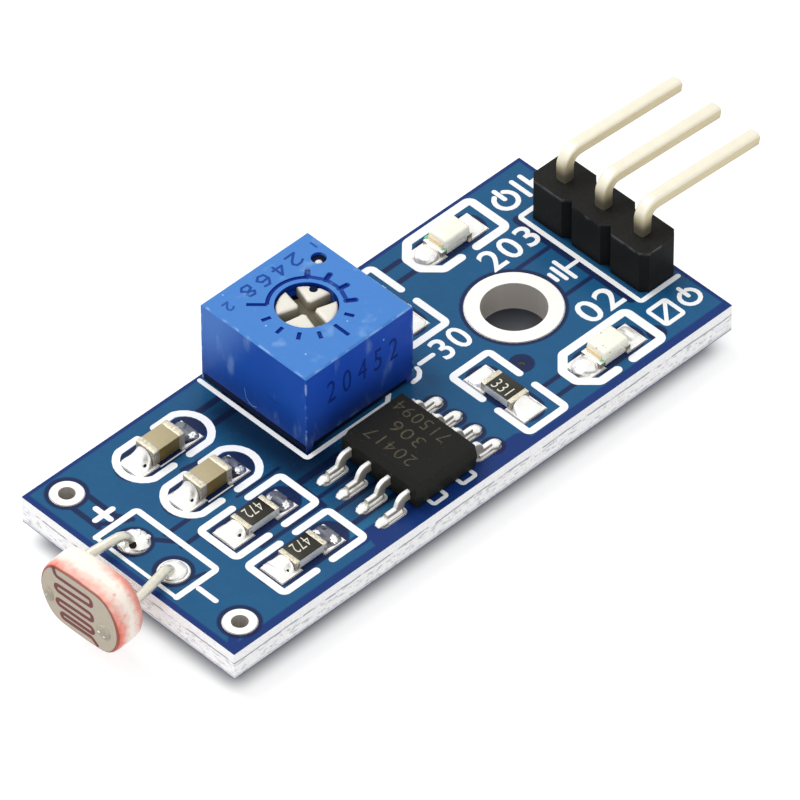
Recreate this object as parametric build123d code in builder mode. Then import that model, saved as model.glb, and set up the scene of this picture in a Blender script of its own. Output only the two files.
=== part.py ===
from build123d import *

import math
import os

# Light sensor module: a small circuit board that carries a light dependent cell at one end,
# a comparator chip, a trimmer that sets its threshold, two indicators and a three pin header.
# The origin is on the mounting hole's axis, at the board's underside. +X runs along the board
# to the header, +Y across it, +Z up. All sizes are millimetres.

os.makedirs("parts", exist_ok=True)

# Board
BOARD_LENGTH = 32.0
BOARD_WIDTH = 14.0
BOARD_THICKNESS = 1.6
MASK_FILM = 0.04
MASK_CLEARANCE = 0.05
LAND_FILM = 0.06
LEGEND_FILM = 0.02
BARREL_WALL = 0.05
TAIL = 1.2

# Mounting hole
MOUNTING_RADIUS = 1.6
MOUNTING_WALL = 0.25
MOUNTING_LAND_RADIUS = 2.33
MOUNTING_FROM_HEADER_END = 7.3

# Plated holes at the sensor end's corners
CORNER_RADIUS = 0.41
CORNER_LAND_RADIUS = 0.79
CORNER_INSET_X = 1.6
CORNER_INSET_Y = 1.3

# Vias
VIA_RADIUS = 0.15
VIA_NEAR_HOLE = (-2.37, -2.87)
VIA_NEAR_EDGE_INSET = 1.17
VIA_NEAR_EDGE_X = 3.51

# Light dependent cell, standing at the sensor end
CELL_LEAD_RADIUS = 0.25
CELL_HOLE_RADIUS = 0.45
CELL_LAND_RADIUS = 0.74
CELL_HOLE_INSET = 1.65
CELL_HOLE_PITCH = 2.62
CELL_OVERHANG = 3.2
CELL_SHIFT = -0.26
CELL_HEIGHT = 1.865
CELL_RADIUS = 2.45
CELL_HALF_FLAT = 1.83
CELL_CORNER = 0.7
CELL_THICKNESS = 1.8
CELL_BACK_ROUND = 0.5
CELL_COAT_WALL = 0.12
CELL_DISC_THICKNESS = 1.1
CELL_FILM = 0.03
CELL_NOSE_DOWN = 3.0
CELL_YAW = 2.0
CELL_LEAD_SPREAD = 3.68
CELL_LEAD_SHIFT = -0.22
CELL_LEAD_DROP = 0.42
CELL_DAB_WIDTH = 0.62
CELL_DAB_LENGTH = 0.92
CELL_DAB_RISE = 0.16
CELL_DAB_ROUND = 0.12
TRACK_WIDTH = 0.22
TRACK_PITCH = 0.54
TRACK_RUNS = 6
TRACK_TOP = 1.27
TRACK_LEFT = -1.15
TRACK_RIGHT = 0.6
TRACK_SLOPE = 0.1
TRACK_START = -1.3
LEAD_SHOULDER_GAP = 0.2
LEAD_RISE_RUN = 0.62
LEAD_SHOULDER_HEIGHT = 0.55
LEAD_ARCH_FAR = 0.78
LEAD_ARCH_NEAR = 0.52
LEAD_BEND = 0.35

# Two terminal pieces, all on the same lands
BLOCK_LENGTH = 2.0
BLOCK_WIDTH = 1.25
BLOCK_LAND_SPAN = 3.95
BLOCK_LAND_LENGTH = 1.25
BLOCK_LAND_WIDTH = 1.42
TERMINAL_FILM = 0.04
CAPACITOR_HEIGHT = 0.87
CAPACITOR_TERMINAL = 0.42
RESISTOR_HEIGHT = 0.46
RESISTOR_TERMINAL = 0.3
RESISTOR_COAT = 0.03
RESISTOR_COAT_INSET = 0.03
LED_BASE_HEIGHT = 0.3
LED_TERMINAL = 0.36
LED_LENS_LENGTH = 1.24
LED_LENS_HEIGHT = 0.52
LED_LENS_ROUND = 0.1
SOLDER_EDGE = 0.08
SOLDER_BELLY = 0.45
CAPACITOR_RISES = (0.72, 0.4)
RESISTOR_RISES = (0.42, 0.3)
LED_RISES = (0.5, 0.24)

# Where the pieces stand, as shares of the board's length from the sensor end
COLUMN_PLACE = 0.2056
CHIP_PLACE = 0.4406
TRIMMER_PLACE = 0.456875
INDICATOR_RESISTOR_PLACE = 0.6366
POWER_RESISTOR_PLACE = 0.6391

# and across it, from its middle line or its long edges
COLUMN_PITCH = 3.12
COLUMN_CENTRE_Y = 0.05
INDICATOR_RESISTOR_INSET = 3.25
POWER_RESISTOR_INSET = 3.0
LED_FROM_HEADER_END = 6.4
POWER_LED_INSET = 1.68
OUTPUT_LED_INSET = 1.9

# Comparator chip
CHIP_Y = -3.86
CHIP_WIDTH = 3.9
CHIP_LENGTH = 4.9
CHIP_HEIGHT = 1.42
CHIP_STANDOFF = 0.1
CHIP_DRAFT = 7.0
CHIP_BEVEL = 0.32
CHIP_BEVEL_DROP = 0.3
CHIP_TIP_SPAN = 6.0
LEAD_PITCH = 1.27
LEAD_COUNT = 4
LEAD_WIDTH = 0.42
LEAD_THICKNESS = 0.2
LEAD_SHOULDER = 0.3
LEAD_FOOT = 0.62
LEAD_RADIUS = 0.14
CHIP_LAND_INNER = 2.2
CHIP_LAND_OUTER = 3.87
CHIP_LAND_WIDTH = 0.6

# Trimmer
TRIMMER_Y = 3.365
TRIMMER_WIDTH = 6.82
TRIMMER_DEPTH = 6.93
TRIMMER_HEIGHT = 4.72
TRIMMER_STANDOFF = 0.35
TRIMMER_FOOT = 0.42
TRIMMER_PLATE = 0.75
TRIMMER_WALL = 0.5
TRIMMER_CHAMBER_RADIUS = 2.6
TRIMMER_EDGE = 0.09
ELEMENT_THICKNESS = 0.9
ELEMENT_CLEARANCE = 0.03
ELEMENT_FILM = 0.03
DIAL_RADIUS = 1.5
ROTOR_CLEARANCE = 0.05
ROTOR_RECESS = 0.12
ROTOR_FLANGE_RADIUS = 2.5
ROTOR_FLANGE = 0.9
ROTOR_DRUM_RADIUS = 2.2
SLOT_DEPTH = 0.6
SLOT_ARM = 1.6
SLOT_WIDTH = 0.5
SLOT_FLARE = 0.75
INDEX_RADIUS = 0.22
INDEX_REACH = 1.18
INDEX_DEPTH = 0.45
INDEX_ANGLE = 31.0
DIAL_SWEEP = 270.0
STOP_MIDDLE = 90.0
STOP_PEG_ANGLE = 29.0
STOP_ALLOWANCE = 1.0
STOP_INNER = 1.75
STOP_OUTER = 2.35
STOP_DEPTH = 0.4
WIPER_SHEET = 0.12
WIPER_RADIUS = 2.0
WIPER_HUB_RADIUS = 0.55
WIPER_ARM_WIDTH = 0.8
CONTACT_RADIUS = 0.22
CONTACT_REACH = 1.72
TRACK_RING_INNER = 1.5
TRACK_RING_OUTER = 2.0
COLLECTOR_RADIUS = 0.6
WIPER_GAP = 0.02
DIAL_TICKS = 11
TICK_INNER = 1.82
TICK_LENGTH = 0.48
TICK_LONG = 0.95
TICK_WIDTH = 0.2
DIAL_ARC_RADIUS = 1.82
DIAL_ARC_WIDTH = 0.2
ENGRAVING = 0.06
CORNER_HOLE_RADIUS = 0.375
CORNER_HOLE_INSET_X = 0.86
CORNER_HOLE_INSET_Y = 1.625
CORNER_PLUG_RECESS = 0.25
TRIMMER_PIN_RADIUS = 0.22
TRIMMER_PIN_INSET = 0.87
TRIMMER_PIN_STAGGER = 2.54
TRIMMER_HOLE_RADIUS = 0.4
TRIMMER_LAND_RADIUS = 0.8

# Header
HEADER_FROM_END = 1.32
HEADER_SHIFT = 0.12
HEADER_PITCH = 2.54
HEADER_PINS = 3
HEADER_WIDTH = 2.3
HEADER_HEIGHT = 2.5
HEADER_NOTCH = 0.34
PIN_SIDE = 0.64
PIN_RISE = 4.08
PIN_REACH = 7.7
PIN_DROOP = 0.45
PIN_BEND = 0.5
PIN_POINT = 0.16
PIN_HOLE_RADIUS = 0.5
PIN_LAND_RADIUS = 0.85

# Solder on the through pins
FILLET_INSET = 0.08
FILLET_DEPTH = 0.9
FILLET_TAPER = 20
MOUND_RISE = 0.4
MOUND_TAPER = 40

# Printed legend
STROKE = 0.38
LED_STROKE = 0.48
SENSOR_STROKE = 0.3
FINE_STROKE = 0.2
LEGEND_SHIFT = 0.2
LEGEND_EDGE = 0.32
OUTLINE_LENGTH = 5.4
OUTLINE_WIDTH = 2.76
OUTLINE_GAP = 0.66
OUTLINE_BULGE = 0.78
LED_OUTLINE_WIDTH = 2.93
LED_OUTLINE_CHAMFER = 0.85
SYMBOL_ARM = 0.66
SENSOR_BOX_LENGTH = 2.82
SENSOR_BOX_WIDTH = 5.64
SENSOR_BOX_SHIFT = 0.24
GROUND_BARS = (1.5, 1.05, 0.6)
GROUND_BAR_PITCH = 0.42
GROUND_STEM = 0.75
GROUND_FROM_END = 3.87
BRACKET_WIDTH = 1.0
BRACKET_DEPTH = 0.5
BRACKET_OVERHANG = 0.36
BRACKET_CENTRES = (-0.65, 1.2)
DASH_LENGTH = 0.36
DASH_OFFSET = 0.65
DASH_WIDTH = 0.13
HEADER_OUTLINE_CLEARANCE = 0.3
TRIMMER_OUTLINE_CLEARANCE = 0.27

# Levels and ends that follow from the sizes above
TOP = BOARD_THICKNESS
LAND_BASE = TOP - MASK_FILM
LAND_TOP = LAND_BASE + LAND_FILM
UNDER_LAND = MASK_FILM - LAND_FILM
HEADER_END = MOUNTING_FROM_HEADER_END
SENSOR_END = HEADER_END - BOARD_LENGTH
FAR_EDGE = BOARD_WIDTH / 2
NEAR_EDGE = -FAR_EDGE
TRIMMER_CEILING = TRIMMER_HEIGHT - TRIMMER_PLATE
ELEMENT_TOP = TRIMMER_STANDOFF + ELEMENT_THICKNESS
FLANGE_TOP = TRIMMER_CEILING - ROTOR_CLEARANCE
FLANGE_BASE = FLANGE_TOP - ROTOR_FLANGE
WIPER_TOP = ELEMENT_TOP + ELEMENT_FILM + WIPER_GAP + CONTACT_RADIUS + WIPER_SHEET
CORNER_HOLE = (TRIMMER_WIDTH / 2 - CORNER_HOLE_INSET_X, TRIMMER_DEPTH / 2 - CORNER_HOLE_INSET_Y)
POCKET_WIDTH = TRIMMER_WIDTH - 2 * TRIMMER_WALL
POCKET_DEPTH = TRIMMER_DEPTH - 2 * TRIMMER_WALL
STOP_LAND_ANGLE = 360 - DIAL_SWEEP - STOP_PEG_ANGLE - STOP_ALLOWANCE

# Places on the board: x, y and, where it matters, the turn about +Z
CORNER_FAR = (SENSOR_END + CORNER_INSET_X, FAR_EDGE - CORNER_INSET_Y)
CORNER_NEAR = (SENSOR_END + CORNER_INSET_X, NEAR_EDGE + CORNER_INSET_Y)
VIAS = [VIA_NEAR_HOLE, (VIA_NEAR_EDGE_X, NEAR_EDGE + VIA_NEAR_EDGE_INSET)]
CELL_FAR_HOLE = (SENSOR_END + CELL_HOLE_INSET, CELL_HOLE_PITCH / 2)
CELL_NEAR_HOLE = (SENSOR_END + CELL_HOLE_INSET, -CELL_HOLE_PITCH / 2)
CELL_HOLES = [CELL_FAR_HOLE, CELL_NEAR_HOLE]
HEADER_X = HEADER_END - HEADER_FROM_END
HEADER_YS = [HEADER_SHIFT + HEADER_PITCH * (k - (HEADER_PINS - 1) / 2) for k in range(HEADER_PINS)]
HEADER_HOLES = [(HEADER_X, y) for y in HEADER_YS]
TRIMMER_X = SENSOR_END + TRIMMER_PLACE * BOARD_LENGTH
TRIMMER_HOLES = [
    (TRIMMER_X + TRIMMER_WIDTH / 2 - TRIMMER_PIN_INSET, TRIMMER_Y + TRIMMER_PIN_STAGGER / 2),
    (TRIMMER_X, TRIMMER_Y - TRIMMER_PIN_STAGGER / 2),
    (TRIMMER_X - TRIMMER_WIDTH / 2 + TRIMMER_PIN_INSET, TRIMMER_Y + TRIMMER_PIN_STAGGER / 2),
]
CHIP_X = SENSOR_END + CHIP_PLACE * BOARD_LENGTH
CHIP_YS = [CHIP_Y + LEAD_PITCH * (k - (LEAD_COUNT - 1) / 2) for k in range(LEAD_COUNT)]
COLUMN_X = SENSOR_END + COLUMN_PLACE * BOARD_LENGTH
COLUMN = [(COLUMN_X, COLUMN_CENTRE_Y + COLUMN_PITCH * step, 0) for step in (1.5, 0.5, -0.5, -1.5)]
INDICATOR_RESISTOR_X = SENSOR_END + INDICATOR_RESISTOR_PLACE * BOARD_LENGTH
POWER_RESISTOR_X = SENSOR_END + POWER_RESISTOR_PLACE * BOARD_LENGTH
CAPACITORS = {"far": COLUMN[0], "near": COLUMN[1]}
RESISTORS = {
    "far": COLUMN[2],
    "near": COLUMN[3],
    "indicator": (INDICATOR_RESISTOR_X, NEAR_EDGE + INDICATOR_RESISTOR_INSET, 90),
    "power": (POWER_RESISTOR_X, FAR_EDGE - POWER_RESISTOR_INSET, 90),
}
LEDS = {
    "power": (HEADER_END - LED_FROM_HEADER_END, FAR_EDGE - POWER_LED_INSET, 0),
    "output": (HEADER_END - LED_FROM_HEADER_END, NEAR_EDGE + OUTPUT_LED_INSET, 0),
}
BLOCKS = [*CAPACITORS.values(), *RESISTORS.values(), *LEDS.values()]
PLATED_HOLES = [
    ([(0, 0)], MOUNTING_RADIUS, MOUNTING_WALL, MOUNTING_LAND_RADIUS),
    ([CORNER_FAR, CORNER_NEAR], CORNER_RADIUS, BARREL_WALL, CORNER_LAND_RADIUS),
    (CELL_HOLES, CELL_HOLE_RADIUS, BARREL_WALL, CELL_LAND_RADIUS),
    (TRIMMER_HOLES, TRIMMER_HOLE_RADIUS, BARREL_WALL, TRIMMER_LAND_RADIUS),
    (HEADER_HOLES, PIN_HOLE_RADIUS, BARREL_WALL, PIN_LAND_RADIUS),
]


def seat(place, height):
    """The plane of a piece's own axes, at a height above the board's underside."""
    x, y, angle = place
    turn = math.radians(angle)
    return Plane(origin=(x, y, height), x_dir=(math.cos(turn), math.sin(turn), 0), z_dir=(0, 0, 1))


def side_view(place, height):
    """The upright plane along a piece's own X axis, seen from its near side."""
    x, y, angle = place
    turn = math.radians(angle)
    along = (math.cos(turn), math.sin(turn), 0)
    return Plane(origin=(x, y, height), x_dir=along, z_dir=(along[1], -along[0], 0))


def finish(piece, name):
    """Names a finished piece and writes its file."""
    piece.part.label = name
    export_step(piece.part, f"parts/{name}.step")


# Bare board
def board_laminate():
    """The glass fibre board, drilled for every plated hole."""
    with BuildPart() as laminate:
        with BuildSketch(Plane.XY.offset(MASK_FILM)):
            with Locations(((SENSOR_END + HEADER_END) / 2, 0)):
                Rectangle(BOARD_LENGTH, BOARD_WIDTH)
            for places, bore, wall, _ in PLATED_HOLES + [(VIAS, VIA_RADIUS, BARREL_WALL, 0)]:
                with Locations(*places):
                    Circle(bore + wall, mode=Mode.SUBTRACT)
        extrude(amount=BOARD_THICKNESS - 2 * MASK_FILM)
    return laminate


def mask_openings():
    """Cuts the window round each round land, inside a mask's sketch."""
    for places, _, _, land in PLATED_HOLES:
        with Locations(*places):
            Circle(land + MASK_CLEARANCE, mode=Mode.SUBTRACT)
    with Locations(*VIAS):
        Circle(VIA_RADIUS, mode=Mode.SUBTRACT)


def block_lands(place, margin, mode):
    """Two rectangular lands of a two terminal piece, grown by a margin, inside a sketch."""
    x, y, angle = place
    reach = (BLOCK_LAND_SPAN - BLOCK_LAND_LENGTH) / 2
    with Locations(Location((x, y, 0), (0, 0, angle))):
        with Locations((-reach, 0), (reach, 0)):
            Rectangle(BLOCK_LAND_LENGTH + 2 * margin, BLOCK_LAND_WIDTH + 2 * margin, mode=mode)


def chip_lands(margin, mode):
    """The chip's two rows of round ended lands, grown by a margin, inside a sketch."""
    middle = (CHIP_LAND_INNER + CHIP_LAND_OUTER) / 2
    length = CHIP_LAND_OUTER - CHIP_LAND_INNER
    for y in CHIP_YS:
        with Locations((CHIP_X - middle, y), (CHIP_X + middle, y)):
            SlotOverall(length + 2 * margin, CHIP_LAND_WIDTH + 2 * margin, mode=mode)


def solder_mask(height, with_lands):
    """One face's coloured mask film, open at the lands."""
    with BuildPart() as mask:
        with BuildSketch(Plane.XY.offset(height)):
            with Locations(((SENSOR_END + HEADER_END) / 2, 0)):
                Rectangle(BOARD_LENGTH, BOARD_WIDTH)
            mask_openings()
            if with_lands:
                for place in BLOCKS:
                    block_lands(place, MASK_CLEARANCE, Mode.SUBTRACT)
                chip_lands(MASK_CLEARANCE, Mode.SUBTRACT)
        extrude(amount=MASK_FILM)
    return mask


def eyelets(places, bore, wall, land):
    """Tinned eyelets through the board, a barrel with a land on each face, inside a part block."""
    for height in (UNDER_LAND, LAND_BASE):
        with BuildSketch(Plane.XY.offset(height)) as lands:
            with Locations(*places):
                Circle(land)
        extrude(lands.sketch, amount=LAND_FILM)
    with BuildSketch(Plane.XY.offset(UNDER_LAND)) as barrels:
        with Locations(*places):
            Circle(bore + wall)
    extrude(barrels.sketch, amount=LAND_TOP - UNDER_LAND)
    with BuildSketch(Plane.XY.offset(UNDER_LAND)) as bores:
        with Locations(*places):
            Circle(bore)
    extrude(bores.sketch, amount=LAND_TOP - UNDER_LAND, mode=Mode.SUBTRACT)


def bare_eyelets(places, bore, wall, land):
    """Eyelets that stay open."""
    with BuildPart() as plating:
        eyelets(places, bore, wall, land)
    return plating


def pin_barrels():
    """The eyelets of every hole that a pin or lead is soldered into."""
    with BuildPart() as barrels:
        for places, bore, wall, land in PLATED_HOLES[2:]:
            eyelets(places, bore, wall, land)
    return barrels


def via_plating():
    """The two vias' barrels, which the masks cover up to the hole."""
    with BuildPart() as vias:
        with BuildSketch(Plane.XY.offset(MASK_FILM)):
            with Locations(*VIAS):
                Circle(VIA_RADIUS + BARREL_WALL)
                Circle(VIA_RADIUS, mode=Mode.SUBTRACT)
        extrude(amount=BOARD_THICKNESS - 2 * MASK_FILM)
    return vias


def surface_lands():
    """The tinned lands that the surface mounted pieces stand on."""
    with BuildPart() as lands:
        with BuildSketch(Plane.XY.offset(LAND_BASE)):
            for place in BLOCKS:
                block_lands(place, 0, Mode.ADD)
            chip_lands(0, Mode.ADD)
        extrude(amount=LAND_FILM)
    return lands


# Printed legend
def printed_line(place, points, width=STROKE):
    """A printed line through points of a piece's own axes, inside a sketch."""
    x, y, angle = place
    c, s = math.cos(math.radians(angle)), math.sin(math.radians(angle))
    with BuildLine() as path:
        Polyline(*[(x + c * u - s * v, y + s * u + c * v) for u, v in points])
    trace(path.line, width)


def trace_each(line, width):
    """Traces a line with curves edge by edge, inside a sketch."""
    edges = line.edges()
    trace(edges[0], width)
    for edge in edges[1:]:
        trace(edge, width)


def shifted(place):
    """A piece's place as the legend has it, a little nearer the header."""
    x, y, angle = place
    return (x + LEGEND_SHIFT, y, angle)


def resistor_outline(place):
    """Two facing brackets round a resistor."""
    half = (OUTLINE_WIDTH - STROKE) / 2
    end = (OUTLINE_LENGTH - STROKE) / 2
    gap = OUTLINE_GAP / 2
    for side in (-1, 1):
        corners = [(side * gap, half), (side * end, half), (side * end, -half), (side * gap, -half)]
        printed_line(shifted(place), corners)


def capacitor_outline(place):
    """Two facing round ended brackets round a capacitor."""
    x, y, _ = shifted(place)
    half = (OUTLINE_WIDTH - STROKE) / 2
    end = (OUTLINE_LENGTH - STROKE) / 2
    gap = OUTLINE_GAP / 2
    for side in (-1, 1):
        shoulder = side * (end - OUTLINE_BULGE)
        with BuildLine() as outline:
            Line((x + side * gap, y + half), (x + shoulder, y + half))
            ThreePointArc((x + shoulder, y + half), (x + side * end, y), (x + shoulder, y - half))
            Line((x + shoulder, y - half), (x + side * gap, y - half))
        trace_each(outline, STROKE)


def led_outline(place):
    """Outline round an indicator, cut off at two corners on its marked side."""
    half = (LED_OUTLINE_WIDTH - LED_STROKE) / 2
    end = (OUTLINE_LENGTH - LED_STROKE) / 2
    cut = LED_OUTLINE_CHAMFER
    gap = OUTLINE_GAP / 2
    points = [(-gap, -half), (cut - end, -half), (-end, cut - half), (-end, half - cut),
              (cut - end, half), (end, half), (end, -half), (gap, -half)]
    printed_line(shifted(place), points, LED_STROKE)


def chip_legend():
    """Brackets at the chip's near end and short dashes between its leads on the header side."""
    low = CHIP_Y - CHIP_LENGTH / 2 - BRACKET_OVERHANG + FINE_STROKE / 2
    for centre in BRACKET_CENTRES:
        left = centre - BRACKET_WIDTH / 2
        right = centre + BRACKET_WIDTH / 2
        high = low + BRACKET_DEPTH - FINE_STROKE / 2
        printed_line((CHIP_X, 0, 0), [(left, high), (left, low), (right, low), (right, high)], FINE_STROKE)
    dash_x = CHIP_TIP_SPAN / 2
    for y in CHIP_YS:
        middle = y + DASH_OFFSET
        ends = [(dash_x, middle - DASH_LENGTH / 2), (dash_x, middle + DASH_LENGTH / 2)]
        printed_line((CHIP_X, 0, 0), ends, DASH_WIDTH)


def ground_symbol():
    """Ground symbol by the middle pin: a stem and three bars that shorten away from it."""
    place = (HEADER_END - GROUND_FROM_END, HEADER_SHIFT, 0)
    printed_line(place, [(0, 0), (GROUND_STEM, 0)], FINE_STROKE)
    for k, length in enumerate(GROUND_BARS):
        bar = -GROUND_BAR_PITCH * k
        printed_line(place, [(bar, -length / 2), (bar, length / 2)], FINE_STROKE)


def sensor_legend():
    """Box and polarity marks at the cell's two holes."""
    place = (SENSOR_END + CELL_HOLE_INSET + SENSOR_BOX_SHIFT, 0, 0)
    half_x = (SENSOR_BOX_LENGTH - SENSOR_STROKE) / 2
    half_y = (SENSOR_BOX_WIDTH - SENSOR_STROKE) / 2
    corners = [(-half_x, half_y), (half_x, half_y), (half_x, -half_y), (-half_x, -half_y)]
    printed_line(place, corners, SENSOR_STROKE)
    printed_line(place, [corners[3], corners[0]], FINE_STROKE)
    mark = half_y + SENSOR_STROKE + SYMBOL_ARM
    printed_line(place, [(-SYMBOL_ARM, mark), (SYMBOL_ARM, mark)], SENSOR_STROKE)
    printed_line(place, [(0, mark - SYMBOL_ARM), (0, mark + SYMBOL_ARM)], SENSOR_STROKE)
    printed_line(place, [(0, -mark - SYMBOL_ARM), (0, SYMBOL_ARM - mark)], SENSOR_STROKE)


def frame_legend():
    """Corner lines beside the trimmer and the header."""
    left = TRIMMER_X - TRIMMER_WIDTH / 2 - TRIMMER_OUTLINE_CLEARANCE
    near = TRIMMER_Y - TRIMMER_DEPTH / 2 - TRIMMER_OUTLINE_CLEARANCE
    far = TRIMMER_Y + TRIMMER_DEPTH / 2
    right = TRIMMER_X + TRIMMER_WIDTH / 4
    printed_line((0, 0, 0), [(left, far), (left, near), (right, near), (right, near + STROKE)])
    half_row = HEADER_PITCH * HEADER_PINS / 2 + HEADER_OUTLINE_CLEARANCE
    back = HEADER_X - HEADER_WIDTH / 2 - HEADER_OUTLINE_CLEARANCE
    high = HEADER_SHIFT + half_row
    low = HEADER_SHIFT - half_row
    end = HEADER_END - STROKE
    printed_line((0, 0, 0), [(end, high), (back, high), (back, low), (end, low)], FINE_STROKE)


def legend_print():
    """All the printed lines, as one thin layer of ink that stops short of every land."""
    with BuildPart() as legend:
        with BuildSketch(Plane.XY.offset(TOP)):
            for place in CAPACITORS.values():
                capacitor_outline(place)
            for place in RESISTORS.values():
                resistor_outline(place)
            for place in LEDS.values():
                led_outline(place)
            sensor_legend()
            frame_legend()
            chip_legend()
            ground_symbol()
            for place in BLOCKS:
                block_lands(place, MASK_CLEARANCE, Mode.SUBTRACT)
            chip_lands(MASK_CLEARANCE, Mode.SUBTRACT)
            mask_openings()
            with Locations(((SENSOR_END + HEADER_END) / 2, 0)):
                Rectangle(BOARD_LENGTH, BOARD_WIDTH - 2 * LEGEND_EDGE, mode=Mode.INTERSECT)
        extrude(amount=LEGEND_FILM)
    return legend


# Two terminal pieces
def ceramic_block(place, height, inset):
    """The block inside a piece's terminals: short of its ends, top and bottom by the film."""
    with BuildPart() as block:
        with BuildSketch(seat(place, LAND_TOP + TERMINAL_FILM)):
            Rectangle(BLOCK_LENGTH - 2 * TERMINAL_FILM, BLOCK_WIDTH - 2 * inset)
        extrude(amount=height - 2 * TERMINAL_FILM)
    return block


def end_terminals(place, height, reach, inset):
    """Metal caps wrapped over both ends. With no inset they leave the sides bare."""
    with BuildPart() as caps:
        offset_x = (BLOCK_LENGTH - reach) / 2
        with BuildSketch(seat(place, LAND_TOP)):
            with Locations((-offset_x, 0), (offset_x, 0)):
                Rectangle(reach, BLOCK_WIDTH)
        extrude(amount=height)
        with BuildSketch(seat(place, LAND_TOP + TERMINAL_FILM)):
            Rectangle(BLOCK_LENGTH - 2 * TERMINAL_FILM, BLOCK_WIDTH - 2 * inset)
        extrude(amount=height - 2 * TERMINAL_FILM, mode=Mode.SUBTRACT)
    return caps


def resistor_overcoat(place):
    """The dark glass on top of a resistor, between its terminals."""
    with BuildPart() as coat:
        with BuildSketch(seat(place, LAND_TOP + RESISTOR_HEIGHT - TERMINAL_FILM)):
            Rectangle(BLOCK_LENGTH - 2 * RESISTOR_TERMINAL, BLOCK_WIDTH - 2 * RESISTOR_COAT_INSET)
        extrude(amount=RESISTOR_COAT)
    return coat


def led_lens(place):
    """The clear moulding on an indicator's base."""
    with BuildPart() as lens:
        with BuildSketch(seat(place, LAND_TOP + LED_BASE_HEIGHT - TERMINAL_FILM)):
            Rectangle(LED_LENS_LENGTH, BLOCK_WIDTH)
        extrude(amount=LED_LENS_HEIGHT)
        fillet(lens.faces().sort_by(Axis.Z)[-1].edges(), radius=LED_LENS_ROUND)
    return lens


def end_fillets(joints):
    """Solder between each end of the pieces and the outer edge of its land."""
    with BuildPart() as solder:
        for place, rises in joints:
            for side, rise in zip((-1, 1), rises):
                inner, outer = side * BLOCK_LENGTH / 2, side * BLOCK_LAND_SPAN / 2
                belly = (inner + (outer - inner) * SOLDER_BELLY, rise * SOLDER_BELLY)
                with BuildSketch(side_view(place, LAND_TOP)):
                    with BuildLine():
                        Polyline((inner, rise), (inner, 0), (outer, 0), (outer, SOLDER_EDGE))
                        ThreePointArc((outer, SOLDER_EDGE), belly, (inner, rise))
                    make_face()
                extrude(amount=BLOCK_LAND_WIDTH / 2, both=True)
    return solder


# Comparator chip
def chip_body():
    """The moulded chip body, drafted both ways from its parting line and bevelled on one side."""
    half_height = CHIP_HEIGHT / 2
    with BuildPart() as body:
        with BuildSketch(Plane.XY.offset(LAND_TOP + CHIP_STANDOFF + half_height)):
            with Locations((CHIP_X, CHIP_Y)):
                Rectangle(CHIP_WIDTH, CHIP_LENGTH)
        extrude(amount=half_height, taper=CHIP_DRAFT)
        with BuildSketch(Plane.XY.offset(LAND_TOP + CHIP_STANDOFF + half_height)):
            with Locations((CHIP_X, CHIP_Y)):
                Rectangle(CHIP_WIDTH, CHIP_LENGTH)
        extrude(amount=-half_height, taper=CHIP_DRAFT)
        top = body.faces().sort_by(Axis.Z)[-1]
        edge = top.edges().sort_by(Axis.X)[0]
        chamfer(edge, length=CHIP_BEVEL_DROP, length2=CHIP_BEVEL, reference=top)
    return body


def chip_leads(side):
    """One row of bent leads, from the body's parting line to their feet on the lands."""
    start = CHIP_WIDTH / 2
    toe = CHIP_TIP_SPAN / 2
    shoulder = start + LEAD_SHOULDER
    heel = toe - LEAD_FOOT
    foot = LEAD_THICKNESS / 2
    exit_height = CHIP_STANDOFF + CHIP_HEIGHT / 2
    with BuildPart() as leads:
        for y in CHIP_YS:
            plane = Plane(origin=(CHIP_X, y, LAND_TOP), x_dir=(side, 0, 0), z_dir=(0, -side, 0))
            with BuildLine(plane) as path:
                bends = [(start, exit_height), (shoulder, exit_height), (heel, foot), (toe, foot)]
                FilletPolyline(*bends, radius=LEAD_RADIUS)
            with BuildSketch(Plane(origin=path.line @ 0, x_dir=(0, 1, 0), z_dir=path.line % 0)):
                Rectangle(LEAD_WIDTH, LEAD_THICKNESS)
            sweep(path=path.line)
    return leads


def chip_solder():
    """Solder in front of each foot, on the rest of its land."""
    toe = CHIP_TIP_SPAN / 2
    end = CHIP_LAND_OUTER
    with BuildPart() as joints:
        for side in (-1, 1):
            with BuildSketch(Plane.XY.offset(LAND_TOP)):
                for y in CHIP_YS:
                    with Locations((CHIP_X + side * (toe + end) / 2, y)):
                        Rectangle(end - toe, CHIP_LAND_WIDTH)
            extrude(amount=LEAD_THICKNESS)
        outer = joints.edges().filter_by(Axis.Z)
        far_side = [edge for edge in outer if abs(edge.center().X - CHIP_X) > (toe + end) / 2]
        fillet(far_side, radius=CHIP_LAND_WIDTH * 0.45)
    return joints


# Trimmer
def trimmer_seat(height):
    """The trimmer's own axes, at a height above the board's top."""
    return Plane(origin=(TRIMMER_X, TRIMMER_Y, TOP + height))


def ring_sector(inner, outer, middle, sweep_angle):
    """A piece of a ring about the sketch's origin, centred on an angle, inside a sketch."""
    first = middle - sweep_angle / 2
    with BuildLine() as outline:
        rim = CenterArc((0, 0), outer, first, sweep_angle)
        bore = CenterArc((0, 0), inner, first, sweep_angle)
        Line(rim @ 0, bore @ 0)
        Line(rim @ 1, bore @ 1)
    make_face(outline.edges())


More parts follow.
